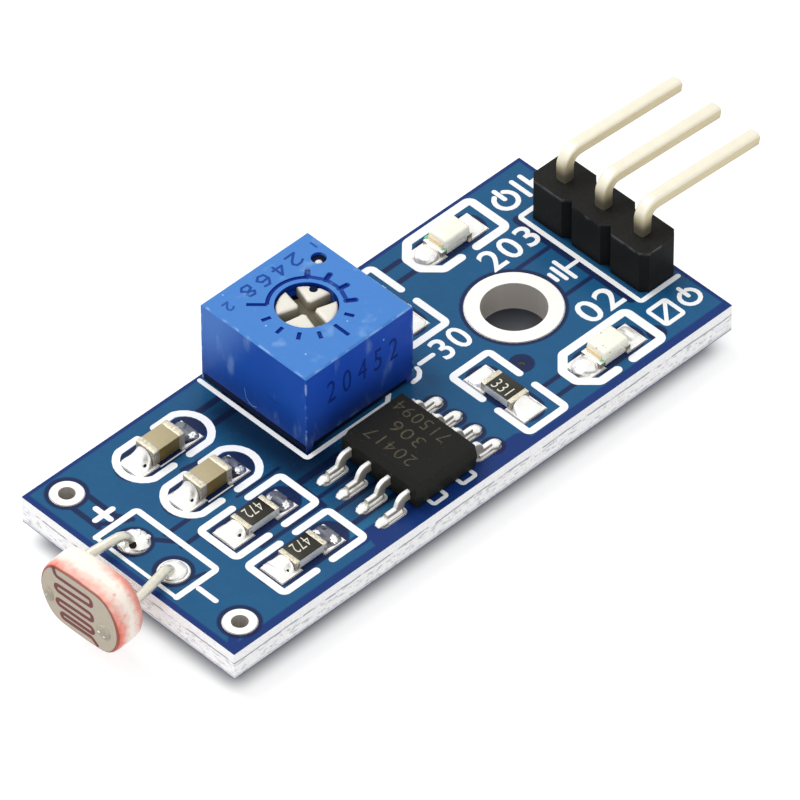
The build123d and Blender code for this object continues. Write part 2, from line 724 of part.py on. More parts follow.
def dial_marks():
    """The engraved scale: ticks over the sweep and an arc on the side that it leaves out."""
    with BuildSketch(trimmer_seat(TRIMMER_HEIGHT - ENGRAVING)) as marks:
        for k in range(DIAL_TICKS):
            angle = STOP_MIDDLE + (360 - DIAL_SWEEP) / 2 + DIAL_SWEEP * k / (DIAL_TICKS - 1)
            length = TICK_LONG if k % ((DIAL_TICKS - 1) // 2) == 0 and k < DIAL_TICKS - 1 else TICK_LENGTH
            with Locations(Rotation(0, 0, angle)):
                with Locations((TICK_INNER + length / 2, 0)):
                    Rectangle(length, TICK_WIDTH)
        ring_sector(
            DIAL_ARC_RADIUS - DIAL_ARC_WIDTH / 2,
            DIAL_ARC_RADIUS + DIAL_ARC_WIDTH / 2,
            STOP_MIDDLE,
            360 - DIAL_SWEEP,
        )
    extrude(marks.sketch, amount=2 * ENGRAVING, mode=Mode.SUBTRACT)


def trimmer_housing():
    """The square shell: a dial hole on top, a chamber for the rotor, four corner feet."""
    with BuildPart() as housing:
        with BuildSketch(trimmer_seat(0)):
            Rectangle(TRIMMER_WIDTH, TRIMMER_DEPTH)
        extrude(amount=TRIMMER_HEIGHT)
        chamfer(housing.faces().sort_by(Axis.Z)[-1].edges(), length=TRIMMER_EDGE)
        with BuildSketch(trimmer_seat(0)):
            Rectangle(TRIMMER_WIDTH, TRIMMER_DEPTH - 2 * TRIMMER_FOOT)
            Rectangle(TRIMMER_WIDTH - 2 * TRIMMER_FOOT, TRIMMER_DEPTH)
        extrude(amount=TRIMMER_STANDOFF, mode=Mode.SUBTRACT)
        with BuildSketch(trimmer_seat(TRIMMER_STANDOFF)):
            Rectangle(POCKET_WIDTH, POCKET_DEPTH)
        extrude(amount=ELEMENT_THICKNESS, mode=Mode.SUBTRACT)
        with BuildSketch(trimmer_seat(ELEMENT_TOP)):
            Circle(TRIMMER_CHAMBER_RADIUS)
        extrude(amount=TRIMMER_CEILING - ELEMENT_TOP, mode=Mode.SUBTRACT)
        with BuildSketch(trimmer_seat(TRIMMER_CEILING - STOP_DEPTH)):
            ring_sector(STOP_INNER, STOP_OUTER, STOP_MIDDLE, STOP_PEG_ANGLE)
        extrude(amount=STOP_DEPTH)
        with BuildSketch(trimmer_seat(TRIMMER_CEILING)):
            Circle(DIAL_RADIUS)
            with Locations(CORNER_HOLE):
                Circle(CORNER_HOLE_RADIUS)
        extrude(amount=TRIMMER_PLATE, mode=Mode.SUBTRACT)
        dial_marks()
    return housing


def slot_arm():
    """Half of the cross slot, one arm along +X that flares towards its mouth."""
    narrow, wide = SLOT_WIDTH / 2, SLOT_FLARE / 2
    with BuildLine() as outline:
        Polyline((0, -narrow), (SLOT_ARM / 2, -narrow), (SLOT_ARM, -wide), (SLOT_ARM, wide),
                 (SLOT_ARM / 2, narrow), (0, narrow), close=True)
    make_face(outline.edges())


def trimmer_rotor():
    """The cream dial: a hub with a cross slot, a flange that the stop runs in, and a drum."""
    with BuildPart() as rotor:
        with BuildSketch(trimmer_seat(WIPER_TOP)):
            Circle(ROTOR_DRUM_RADIUS)
        extrude(amount=FLANGE_BASE - WIPER_TOP)
        with BuildSketch(trimmer_seat(FLANGE_BASE)):
            Circle(ROTOR_FLANGE_RADIUS)
        extrude(amount=ROTOR_FLANGE)
        with BuildSketch(trimmer_seat(FLANGE_TOP - STOP_DEPTH - ROTOR_CLEARANCE)):
            ring_sector(
                STOP_INNER - ROTOR_CLEARANCE,
                STOP_OUTER + ROTOR_CLEARANCE,
                INDEX_ANGLE + 180,
                360 - STOP_LAND_ANGLE,
            )
        extrude(amount=STOP_DEPTH + 2 * ROTOR_CLEARANCE, mode=Mode.SUBTRACT)
        with BuildSketch(trimmer_seat(FLANGE_TOP)):
            Circle(DIAL_RADIUS - ROTOR_CLEARANCE)
        extrude(amount=TRIMMER_HEIGHT - ROTOR_RECESS - FLANGE_TOP)
        hub_top = TRIMMER_HEIGHT - ROTOR_RECESS
        for arm in range(4):
            plane = trimmer_seat(hub_top - SLOT_DEPTH).rotated((0, 0, INDEX_ANGLE + 45 + 90 * arm))
            with BuildSketch(plane):
                slot_arm()
            extrude(amount=SLOT_DEPTH, mode=Mode.SUBTRACT)
        with BuildSketch(trimmer_seat(hub_top - INDEX_DEPTH).rotated((0, 0, INDEX_ANGLE))):
            with Locations((INDEX_REACH, 0)):
                Circle(INDEX_RADIUS)
        extrude(amount=INDEX_DEPTH, mode=Mode.SUBTRACT)
    return rotor


def trimmer_wiper():
    """The sprung contact under the rotor: a hub, one arm, and a round contact on each."""
    with BuildPart() as wiper:
        with BuildSketch(trimmer_seat(WIPER_TOP - WIPER_SHEET).rotated((0, 0, INDEX_ANGLE))):
            Circle(WIPER_HUB_RADIUS)
            with Locations((WIPER_RADIUS / 2, 0)):
                Rectangle(WIPER_RADIUS, WIPER_ARM_WIDTH)
        extrude(amount=WIPER_SHEET)
        with BuildSketch(trimmer_seat(WIPER_TOP - WIPER_SHEET - CONTACT_RADIUS).rotated((0, 0, INDEX_ANGLE))):
            Circle(CONTACT_RADIUS)
            with Locations((CONTACT_REACH, 0)):
                Circle(CONTACT_RADIUS)
        extrude(amount=CONTACT_RADIUS)
    return wiper


def trimmer_element():
    """The ceramic base plate with its printed resistive ring and centre collector."""
    width = POCKET_WIDTH - 2 * ELEMENT_CLEARANCE
    depth = POCKET_DEPTH - 2 * ELEMENT_CLEARANCE
    with BuildPart() as element:
        with BuildSketch(trimmer_seat(TRIMMER_STANDOFF)):
            Rectangle(width, depth)
        extrude(amount=ELEMENT_THICKNESS)
        with BuildSketch(trimmer_seat(ELEMENT_TOP)):
            Circle(COLLECTOR_RADIUS)
            ring_sector(TRACK_RING_INNER, TRACK_RING_OUTER, STOP_MIDDLE + 180, DIAL_SWEEP)
        extrude(amount=ELEMENT_FILM)
        with BuildSketch(Plane.XY.offset(TOP)):
            with Locations(*TRIMMER_HOLES):
                Circle(TRIMMER_PIN_RADIUS)
        extrude(amount=ELEMENT_TOP + ELEMENT_FILM, mode=Mode.SUBTRACT)
    return element


def trimmer_corner_plug():
    """The pale plug a little way down the small hole by the dial."""
    with BuildPart() as plug:
        with BuildSketch(trimmer_seat(TRIMMER_CEILING)):
            with Locations(CORNER_HOLE):
                Circle(CORNER_HOLE_RADIUS)
        extrude(amount=TRIMMER_PLATE - CORNER_PLUG_RECESS)
    return plug


def trimmer_pin(place):
    """One round terminal, from the element's top down through the board."""
    with BuildPart() as pin:
        with BuildSketch(Plane.XY.offset(-TAIL)):
            with Locations(place):
                Circle(TRIMMER_PIN_RADIUS)
        extrude(amount=TAIL + TOP + ELEMENT_TOP)
    return pin


# Header
def header_housing():
    """The black strip: one notched cell to each pin, with a square hole through it."""
    cut = HEADER_NOTCH
    half_x, half_y = HEADER_WIDTH / 2, HEADER_PITCH / 2
    cell = [
        (-half_x + cut, -half_y), (half_x - cut, -half_y), (half_x, cut - half_y), (half_x, half_y - cut),
        (half_x - cut, half_y), (cut - half_x, half_y), (-half_x, half_y - cut), (-half_x, cut - half_y),
    ]
    with BuildPart() as housing:
        with BuildSketch(Plane.XY.offset(LAND_TOP)):
            with Locations(*HEADER_HOLES):
                Polygon(*cell, align=None)
            with Locations(*HEADER_HOLES):
                Rectangle(PIN_SIDE, PIN_SIDE, mode=Mode.SUBTRACT)
        extrude(amount=HEADER_HEIGHT)
    return housing


def header_pin(place):
    """One square pin: up through the board and housing, then bent over to point along +X."""
    x, y = place
    with BuildPart() as pin:
        with BuildLine(Plane(origin=(x, y, 0), x_dir=(1, 0, 0), z_dir=(0, -1, 0))) as path:
            FilletPolyline(
                (0, -TAIL), (0, TOP + PIN_RISE), (PIN_REACH, TOP + PIN_RISE - PIN_DROOP), radius=PIN_BEND
            )
        with BuildSketch(Plane(origin=path.line @ 0, x_dir=(0, 1, 0), z_dir=path.line % 0)):
            Rectangle(PIN_SIDE, PIN_SIDE)
        sweep(path=path.line)
        chamfer(pin.faces().sort_by(Axis.X)[-1].edges(), length=PIN_POINT)
    return pin


# Light dependent cell
def cell_plane(depth=0.0):
    """The cell's face, or the plane that far behind it. Its Z axis points out of the face."""
    down, yaw = math.radians(CELL_NOSE_DOWN), math.radians(CELL_YAW)
    out = Vector(-math.cos(down) * math.cos(yaw), -math.cos(down) * math.sin(yaw), -math.sin(down))
    along = Vector(math.sin(yaw), -math.cos(yaw), 0)
    origin = Vector(SENSOR_END - CELL_OVERHANG, CELL_SHIFT, CELL_HEIGHT) - out * depth
    return Plane(origin=origin, x_dir=along, z_dir=out)


CELL_LEAD_SPOTS = [
    (CELL_LEAD_SHIFT - CELL_LEAD_SPREAD / 2, -CELL_LEAD_DROP),
    (CELL_LEAD_SHIFT + CELL_LEAD_SPREAD / 2, -CELL_LEAD_DROP),
]


def cell_outline(inset):
    """The cell's shape inside a sketch: a circle with two flats and soft corners."""
    Circle(CELL_RADIUS - inset)
    Rectangle(2 * CELL_RADIUS, 2 * (CELL_HALF_FLAT - inset), mode=Mode.INTERSECT)


def cell_block(depth, inset, thickness, mode=Mode.ADD):
    """A block of the cell's shape, from a depth behind the face, inside a part block."""
    with BuildSketch(cell_plane(depth)) as shape:
        cell_outline(inset)
        fillet(shape.vertices(), radius=CELL_CORNER - inset)
    extrude(shape.sketch, amount=-thickness, mode=mode)


def cell_lead_holes():
    """Cuts both leads' holes through the cell, inside a part block."""
    with BuildSketch(cell_plane()) as holes:
        with Locations(*CELL_LEAD_SPOTS):
            Circle(CELL_LEAD_RADIUS)
    extrude(holes.sketch, amount=-CELL_THICKNESS, mode=Mode.SUBTRACT)


def cell_disc():
    """The ceramic wafer."""
    with BuildPart() as disc:
        cell_block(CELL_FILM, CELL_COAT_WALL, CELL_DISC_THICKNESS)
        cell_lead_holes()
    return disc


def cell_coating():
    """The poured coat round the wafer's rim and over its back."""
    with BuildPart() as coat:
        cell_block(0, 0, CELL_THICKNESS)
        fillet(coat.faces().sort_by(Axis.X)[-1].edges(), radius=CELL_BACK_ROUND)
        cell_block(0, CELL_COAT_WALL, CELL_FILM + CELL_DISC_THICKNESS, mode=Mode.SUBTRACT)
        cell_lead_holes()
    return coat


def cell_track_lines():
    """The serpentine gap between the two electrodes, as one traced line inside a sketch."""
    half = TRACK_PITCH / 2
    with BuildLine() as serpentine:
        start = Line((TRACK_START, CELL_HALF_FLAT), (TRACK_START, TRACK_TOP))
        end = start @ 1
        for run in range(TRACK_RUNS):
            rightwards = run % 2 == 0
            first = TRACK_LEFT if rightwards else TRACK_RIGHT
            last = TRACK_RIGHT if rightwards else TRACK_LEFT
            height = TRACK_TOP - TRACK_PITCH * run
            rise = TRACK_SLOPE / 2 if rightwards else -TRACK_SLOPE / 2
            if run == 0:
                Line(end, (first, height - rise))
            line = Line((first, height - rise), (last, height + rise))
            bulge = half if rightwards else -half
            following = height - TRACK_PITCH + rise
            ThreePointArc(line @ 1, (last + bulge, (height + rise + following) / 2), (last, following))
        Line((TRACK_LEFT, following), (TRACK_RIGHT + half, -CELL_HALF_FLAT))
    trace_each(serpentine, TRACK_WIDTH)


def cell_film(keep_track):
    """The film on the wafer's face: its sensing track, or the two electrodes beside it."""
    with BuildPart() as film:
        with BuildSketch(cell_plane()) as shape:
            cell_outline(CELL_COAT_WALL)
            fillet(shape.vertices(), radius=CELL_CORNER - CELL_COAT_WALL)
            with BuildSketch(mode=Mode.INTERSECT if keep_track else Mode.SUBTRACT):
                cell_track_lines()
            with Locations(*CELL_LEAD_SPOTS):
                Circle(CELL_LEAD_RADIUS, mode=Mode.SUBTRACT)
        extrude(amount=-CELL_FILM)
    return film


def cell_lead(spot, hole, arch):
    """One wire: straight through the cell, up and over the board's end, down into its hole."""
    face = cell_plane()
    back = face.z_dir * -(CELL_THICKNESS + LEAD_SHOULDER_GAP)
    front = face.from_local_coords(Vector(*spot, 0))
    rear = front + back
    shoulder = (rear.X + LEAD_RISE_RUN, rear.Y, TOP + LEAD_SHOULDER_HEIGHT)
    x, y = hole
    with BuildPart() as lead:
        with BuildLine() as path:
            FilletPolyline(front, rear, shoulder, (x, y, TOP + arch), (x, y, -TAIL), radius=LEAD_BEND)
        with BuildSketch(Plane(origin=front, z_dir=back)):
            Circle(CELL_LEAD_RADIUS)
        sweep(path=path.line)
    return lead


def cell_dabs():
    """The two dabs of conductive solder on the face, over the wires' ends."""
    face = cell_plane()
    outwards = Axis(face.origin, face.z_dir)
    with BuildPart() as dabs:
        with BuildSketch(face):
            with Locations(*CELL_LEAD_SPOTS):
                Ellipse(CELL_DAB_WIDTH / 2, CELL_DAB_LENGTH / 2)
        extrude(amount=CELL_DAB_RISE)
        fillet(dabs.faces().sort_by(outwards)[-2:].edges(), radius=CELL_DAB_ROUND)
    return dabs


# Solder of the through pins
def pin_solder(places, bore, land, cutters, rise_above=0.0):
    """Solder that fills each hole, cones down each stub, and may mound above its land."""
    with BuildPart() as joints:
        with BuildSketch(Plane.XY.offset(UNDER_LAND)):
            with Locations(*places):
                Circle(bore)
        extrude(amount=LAND_TOP - UNDER_LAND)
        with BuildSketch(Plane.XY.offset(UNDER_LAND)):
            with Locations(*places):
                Circle(land - FILLET_INSET)
        extrude(amount=-FILLET_DEPTH, taper=FILLET_TAPER)
        if rise_above:
            with BuildSketch(Plane.XY.offset(LAND_TOP)):
                with Locations(*places):
                    Circle(land - FILLET_INSET)
            extrude(amount=rise_above, taper=MOUND_TAPER)
        for cutter in cutters:
            add(cutter.part, mode=Mode.SUBTRACT)
    return joints


# Build every piece and write its file
finish(board_laminate(), "board_laminate")
finish(solder_mask(TOP - MASK_FILM, True), "solder_mask_top")
finish(solder_mask(0, False), "solder_mask_bottom")
finish(legend_print(), "legend_print")
finish(bare_eyelets(*PLATED_HOLES[0]), "mounting_hole_plating")
finish(bare_eyelets([CORNER_FAR], *PLATED_HOLES[1][1:]), "corner_eyelet_far")
finish(bare_eyelets([CORNER_NEAR], *PLATED_HOLES[1][1:]), "corner_eyelet_near")
finish(pin_barrels(), "plated_barrels")
finish(via_plating(), "via_plating")
finish(surface_lands(), "surface_lands")

for name, place in CAPACITORS.items():
    ends = end_terminals(place, CAPACITOR_HEIGHT, CAPACITOR_TERMINAL, TERMINAL_FILM)
    finish(ceramic_block(place, CAPACITOR_HEIGHT, TERMINAL_FILM), f"capacitor_{name}_body")
    finish(ends, f"capacitor_{name}_ends")
for name, place in RESISTORS.items():
    finish(ceramic_block(place, RESISTOR_HEIGHT, 0), f"resistor_{name}_substrate")
    finish(resistor_overcoat(place), f"resistor_{name}_overcoat")
    finish(end_terminals(place, RESISTOR_HEIGHT, RESISTOR_TERMINAL, 0), f"resistor_{name}_ends")
for name, place in LEDS.items():
    finish(ceramic_block(place, LED_BASE_HEIGHT, 0), f"{name}_led_base")
    finish(led_lens(place), f"{name}_led_lens")
    finish(end_terminals(place, LED_BASE_HEIGHT, LED_TERMINAL, 0), f"{name}_led_ends")

column_joints = [(place, CAPACITOR_RISES) for place in CAPACITORS.values()]
column_joints += [(RESISTORS[name], RESISTOR_RISES) for name in ("far", "near")]
led_joints = [(place, LED_RISES) for place in LEDS.values()]
led_joints += [(RESISTORS[name], RESISTOR_RISES) for name in ("indicator", "power")]
finish(end_fillets(column_joints), "passive_solder")
finish(end_fillets(led_joints), "indicator_solder")

finish(chip_body(), "chip_body")
finish(chip_leads(-1), "chip_leads_sensor_side")
finish(chip_leads(1), "chip_leads_header_side")
finish(chip_solder(), "chip_solder")

trimmer_pins = [trimmer_pin(place) for place in TRIMMER_HOLES]
finish(trimmer_housing(), "trimmer_housing")
finish(trimmer_rotor(), "trimmer_rotor")
finish(trimmer_wiper(), "trimmer_wiper")
finish(trimmer_element(), "trimmer_element")
finish(trimmer_corner_plug(), "trimmer_corner_plug")
for number, pin in enumerate(trimmer_pins, 1):
    finish(pin, f"trimmer_pin_{number}")
finish(pin_solder(TRIMMER_HOLES, TRIMMER_HOLE_RADIUS, TRIMMER_LAND_RADIUS, trimmer_pins), "trimmer_solder")

header_pins = [header_pin(place) for place in HEADER_HOLES]
finish(header_housing(), "header_housing")
for number, pin in enumerate(header_pins, 1):
    finish(pin, f"header_pin_{number}")
finish(pin_solder(HEADER_HOLES, PIN_HOLE_RADIUS, PIN_LAND_RADIUS, header_pins), "header_solder")

cell_leads = [
    cell_lead(CELL_LEAD_SPOTS[0], CELL_FAR_HOLE, LEAD_ARCH_FAR),
    cell_lead(CELL_LEAD_SPOTS[1], CELL_NEAR_HOLE, LEAD_ARCH_NEAR),
]
finish(cell_disc(), "cell_disc")
finish(cell_coating(), "cell_coating")
finish(cell_film(keep_track=False), "cell_electrodes")
finish(cell_film(keep_track=True), "cell_track")
finish(cell_dabs(), "cell_dabs")
finish(cell_leads[0], "cell_lead_far")
finish(cell_leads[1], "cell_lead_near")
finish(pin_solder(CELL_HOLES, CELL_HOLE_RADIUS, CELL_LAND_RADIUS, cell_leads, MOUND_RISE), "cell_solder")
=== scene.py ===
"""A light sensor module on a pale studio floor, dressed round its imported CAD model.

The CAD nodes give every main shape. This script gives them procedural finishes, puts finer
solder, print, wires, blocks, cell and dial rotor in their places, and sets the studio up as in
the picture. Sizes in the classes are millimetres in the CAD frame: +X to the header, +Y across
the board, +Z up. Places on the board are measured from its sensor end and its near edge.
Lengths inside a finish are metres, as the object coordinate is.
"""

import logging
import math
from dataclasses import dataclass, field
from enum import Enum
from functools import cache
from typing import Callable, Iterable, Optional, Sequence, Union

import bmesh
import bpy
from mathutils import Matrix, Vector, noise


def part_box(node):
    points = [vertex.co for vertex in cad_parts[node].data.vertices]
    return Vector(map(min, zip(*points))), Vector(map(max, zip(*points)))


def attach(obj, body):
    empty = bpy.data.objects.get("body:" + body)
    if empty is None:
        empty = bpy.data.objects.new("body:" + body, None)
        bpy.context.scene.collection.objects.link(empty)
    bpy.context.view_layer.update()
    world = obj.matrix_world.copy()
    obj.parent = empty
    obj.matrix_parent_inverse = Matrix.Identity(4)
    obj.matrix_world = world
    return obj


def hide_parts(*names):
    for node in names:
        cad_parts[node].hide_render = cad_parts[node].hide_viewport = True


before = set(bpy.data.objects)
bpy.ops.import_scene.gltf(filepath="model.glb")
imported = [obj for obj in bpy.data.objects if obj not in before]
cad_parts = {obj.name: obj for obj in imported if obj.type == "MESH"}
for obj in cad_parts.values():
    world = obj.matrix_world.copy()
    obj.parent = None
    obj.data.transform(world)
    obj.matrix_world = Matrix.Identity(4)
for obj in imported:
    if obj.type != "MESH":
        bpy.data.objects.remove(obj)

LOG = logging.getLogger("scene")
MM = 0.001
BOARD_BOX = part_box("board_laminate")
SENSOR_END = BOARD_BOX[0][0] / MM
NEAR_EDGE = BOARD_BOX[0][1] / MM
BOARD_TOP = 1.6
LAND_TOP = 1.62
HEADER_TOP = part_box("header_housing")[1][2]
TRIMMER_TOP = 6.32
TRIMMER_SPOT = (14.62, 10.365)
TRIMMER_CENTRE = (SENSOR_END + TRIMMER_SPOT[0], NEAR_EDGE + TRIMMER_SPOT[1])
COLUMN_YS = (11.78, 8.61, 5.5, 2.38)
CHIP_PITCH = 1.27
CHIP_LEAD_YS = tuple(1.235 + CHIP_PITCH * index for index in range(4))
CELL_CENTRE = (-27.9, -0.26, 1.865)
CELL_DOWN = 3.0
CELL_YAW = 2.0
Point = tuple[float, float, float]
Flat = tuple[float, float]
Rgb = tuple[float, float, float]
Line = tuple[Flat, Flat, float]
Part = bmesh.types.BMesh
Tree = bpy.types.NodeTree
Socket = bpy.types.NodeSocket
Fed = Union[Socket, float, Sequence[float]]


class Body(Enum):
    """The two bodies that pieces ride on."""

    BOARD = "board"
    ROTOR = "rotor"


def linear(level: float) -> float:
    """A display level of 0 to 255 as a linear one of 0 to 1."""
    share = level / 255
    return share / 12.92 if share <= 0.04045 else ((share + 0.055) / 1.055) ** 2.4


def srgb(color: Rgb) -> tuple[float, float, float, float]:
    """A display colour of 0 to 255 a channel as a linear colour with full alpha."""
    return (*(linear(level) for level in color), 1.0)


def on_board(x: float, y: float, z: float = BOARD_TOP) -> Vector:
    """A place on the board in the CAD frame.

    Args:
        x: distance from the sensor end.
        y: distance from the near edge.
        z: height above the board's underside.

    Returns:
        The point, in millimetres.
    """
    return Vector((SENSOR_END + x, NEAR_EDGE + y, z))


def seat(x: float, y: float, z: float = LAND_TOP, turn: float = 0.0) -> Matrix:
    """The axes of a piece on the board: its place and its turn about +Z, in degrees."""
    return Matrix.Translation(on_board(x, y, z)) @ Matrix.Rotation(math.radians(turn), 4, "Z")


# Node graphs


class Graph:
    """Adds and links the nodes of one node tree.

    Args:
        tree: the node tree to build in.
    """

    def __init__(self, tree: Tree) -> None:
        """Takes the tree."""
        self.tree = tree

    def node(self, kind: str, inputs: Optional[dict] = None, **settings: object) -> bpy.types.Node:
        """Adds a node.

        Args:
            kind: the node's type name.
            inputs: values or sockets by input name or index.
            **settings: attributes of the node.

        Returns:
            The new node.
        """
        made = self.tree.nodes.new(kind)
        for key, value in settings.items():
            setattr(made, key, value)
        for key, value in (inputs or {}).items():
            self.feed(made.inputs[key], value)
        return made

    def feed(self, socket: Socket, value: Fed) -> None:
        """Links a socket to an input, or sets the input's own value."""
        if isinstance(value, bpy.types.NodeSocket):
            self.tree.links.new(value, socket)
        else:
            socket.default_value = value

    def math(
        self, operation: str, first: Fed, second: Fed = 0.0, third: Fed = 0.0, clamp: bool = False
    ) -> Socket:
        """The result of a math node."""
        made = self.node("ShaderNodeMath", operation=operation, use_clamp=clamp)
        for socket, value in zip(made.inputs, (first, second, third)):
            self.feed(socket, value)
        return made.outputs[0]

    def times(self, first: Fed, *others: Fed) -> Fed:
        """The product of values."""
        for other in others:
            first = self.math("MULTIPLY", first, other)
        return first

    def fit(self, value: Fed, gain: Fed, base: Fed) -> Socket:
        """A value times a gain, plus a base."""
        return self.math("MULTIPLY_ADD", value, gain, base)

    def apart(self, value: Fed, middle: float) -> Socket:
        """How far a value is from a middle, on either side."""
        return self.math("ABSOLUTE", self.math("SUBTRACT", value, middle))

    def vector(self, operation: str, first: Fed, second: Fed, output: int = 0) -> Socket:
        """The result of a vector math node."""
        made = self.node("ShaderNodeVectorMath", operation=operation)
        self.feed(made.inputs[0], first)
        self.feed(made.inputs["Scale" if operation == "SCALE" else 1], second)
        return made.outputs[output]

    def parts(self, vector: Socket) -> tuple[Socket, ...]:
        """The three components of a vector."""
        return tuple(self.node("ShaderNodeSeparateXYZ", {0: vector}).outputs)

    def place(self) -> Socket:
        """The object coordinate."""
        return self.node("ShaderNodeTexCoord").outputs["Object"]

    def normal(self) -> Socket:
        """The surface's normal."""
        return self.node("ShaderNodeNewGeometry").outputs["Normal"]

    def mix(self, factor: Fed, first: Fed, second: Fed, blend: str = "MIX") -> Socket:
        """The result of a colour mix."""
        made = self.node("ShaderNodeMix", data_type="RGBA", blend_type=blend)
        for index, value in ((0, factor), (6, first), (7, second)):
            self.feed(made.inputs[index], value)
        return made.outputs[2]

    def lay(self, color: Socket, mask: Fed, over: Rgb, strength: float = 1.0) -> Socket:
        """A colour with a display colour laid over it, as strong as a mask times a strength."""
        share = mask if strength == 1.0 else self.times(mask, strength)
        return self.mix(share, color, srgb(over))

    def step(self, value: Fed, low: Fed, high: Fed) -> Socket:
        """A smooth 0 to 1 step of a value between two levels, which may fall."""
        made = self.node("ShaderNodeMapRange", interpolation_type="SMOOTHSTEP")
        for name, fed in (("Value", value), ("From Min", low), ("From Max", high)):
            self.feed(made.inputs[name], fed)
        return made.outputs["Result"]

    def noise(self, place: Socket, scale: Fed, detail: float = 3.0, roughness: float = 0.5) -> Socket:
        """A noise value of 0 to 1."""
        inputs = {"Vector": place, "Scale": scale, "Detail": detail, "Roughness": roughness}
        return self.node("ShaderNodeTexNoise", inputs).outputs[0]

    def sway(self, value: Socket, reach: Fed = 1.0) -> Fed:
        """A 0 to 1 value as a sway about 0."""
        return self.times(self.math("SUBTRACT", value, 0.5), reach)

    def rectangle(self, place: Socket, low: Flat, high: Flat, outer: float, inner: float) -> Fed:
        """A soft mask over a rectangle seen from above.

        Args:
            place: the object coordinate.
            low: the rectangle's near left corner, in metres.
            high: its far right corner.
            outer: how far outside its edges the mask ends.
            inner: how far inside them the mask is full.

        Returns:
            The mask.
        """
        mask: Fed = 1.0
        for socket, start, end in zip(self.parts(place), low, high):
            half = (end - start) / 2
            away = self.apart(socket, (start + end) / 2)
            mask = self.times(self.step(away, half + outer, half - inner), mask)
        return mask

    def group(self, tree: Tree, inputs: dict) -> bpy.types.Node:
        """Adds a node group and feeds its inputs."""
        return self.node("ShaderNodeGroup", inputs, node_tree=tree)


class Group(Graph):
    """A node group in the making.

    Args:
        name: the group's name.
        kind: the type of its tree.
        inputs: name, kind and default value of each input.
        outputs: name and kind of each output.
    """

    def __init__(self, name: str, kind: str, inputs: Sequence[tuple], outputs: Sequence[tuple]) -> None:
        """Makes the group with its sockets. The class says what each argument is."""
        super().__init__(bpy.data.node_groups.new(name, kind))
        for label, sort, default in inputs:
            socket = self.tree.interface.new_socket(label, in_out="INPUT", socket_type=f"NodeSocket{sort}")
            if default is not None:
                socket.default_value = default
        for label, sort in outputs:
            self.tree.interface.new_socket(label, in_out="OUTPUT", socket_type=f"NodeSocket{sort}")
        self.given = self.node("NodeGroupInput").outputs
        self.out = self.node("NodeGroupOutput").inputs


class Shared:
    """The shader effects that several finishes use, each built once as a node group."""

    @staticmethod
    @cache
    def grain() -> Tree:
        """Fine uneven grain: a colour varied about a base, a 0 to 1 value and a bumped normal."""
        inputs = [
            ("Color", "Color", (0.5, 0.5, 0.5, 1)), ("Vector", "Vector", None), ("Scale", "Float", 2000.0),
            ("Variation", "Float", 0.2), ("Bump", "Float", 0.1), ("Height", "Float", 0.00002),
        ]
        outputs = [("Color", "Color"), ("Value", "Float"), ("Normal", "Vector")]
        group = Group("Grain", "ShaderNodeTree", inputs, outputs)
        given, out = group.given, group.out
        speckle = group.noise(given["Vector"], given["Scale"], 5.0, 0.65)
        bright = group.fit(group.sway(speckle, given["Variation"]), 4.0, 1.0)
        group.feed(out["Color"], group.mix(1.0, given["Color"], bright, "MULTIPLY"))
        group.feed(out["Value"], speckle)
        relief = {"Strength": given["Bump"], "Distance": given["Height"], "Height": speckle}
        group.feed(out["Normal"], group.node("ShaderNodeBump", relief).outputs[0])
        return group.tree

    @staticmethod
    @cache
    def specks() -> Tree:
        """A mask of scattered specks of dust or chips."""
        sizes = [("Scale", "Float", 1500.0), ("Share", "Float", 0.1), ("Size", "Float", 0.25)]
        inputs = [("Vector", "Vector", None), *sizes]
        group = Group("Specks", "ShaderNodeTree", inputs, [("Mask", "Float")])
        given = group.given
        cells = group.node("ShaderNodeTexVoronoi", {"Vector": given["Vector"], "Scale": given["Scale"]})
        near = group.math("LESS_THAN", cells.outputs["Distance"], given["Size"])
        red = group.node("ShaderNodeSeparateColor", {0: cells.outputs["Color"]}).outputs[0]
        picked = group.math("LESS_THAN", red, given["Share"])
        group.feed(group.out["Mask"], group.times(near, picked))
        return group.tree

    @staticmethod
    @cache
    def stroke() -> Tree:
        """A mask along a straight line between two points of the board, seen from above."""
        inputs = [
            ("Vector", "Vector", None), ("Start", "Vector", None), ("End", "Vector", None),
            ("Half Width", "Float", 0.0001), ("Soft", "Float", 0.00003),
        ]
        group = Group("Stroke", "ShaderNodeTree", inputs, [("Mask", "Float")])
        given = group.given
        flat = group.vector("MULTIPLY", given["Vector"], (1.0, 1.0, 0.0))
        away = group.vector("SUBTRACT", flat, given["Start"])
        run = group.vector("SUBTRACT", given["End"], given["Start"])
        reach = group.vector("DOT_PRODUCT", away, run, 1)
        length = group.math("MAXIMUM", group.vector("DOT_PRODUCT", run, run, 1), 1e-12)
        along = group.math("DIVIDE", reach, length, clamp=True)
        distance = group.vector("DISTANCE", away, group.vector("SCALE", run, along), 1)
        outer = group.math("ADD", given["Half Width"], given["Soft"])
        inner = group.math("SUBTRACT", given["Half Width"], given["Soft"])
        group.feed(group.out["Mask"], group.step(distance, outer, inner))
        return group.tree

    @staticmethod
    @cache
    def slope() -> Tree:
        """How level the surface is: 1 facing up, 0 upright or facing down, with uneven edges."""
        inputs = [
            ("Vector", "Vector", None), ("Normal", "Vector", None), ("Low", "Float", 0.3),
            ("High", "Float", 0.9), ("Scale", "Float", 2500.0), ("Stray", "Float", 0.3),
        ]
        group = Group("Slope", "ShaderNodeTree", inputs, [("Level", "Float")])
        given = group.given
        stray = group.sway(group.noise(given["Vector"], given["Scale"], 2.0), given["Stray"])
        up = group.math("ADD", group.parts(given["Normal"])[2], stray)
        group.feed(group.out["Level"], group.step(up, given["Low"], given["High"]))
        return group.tree


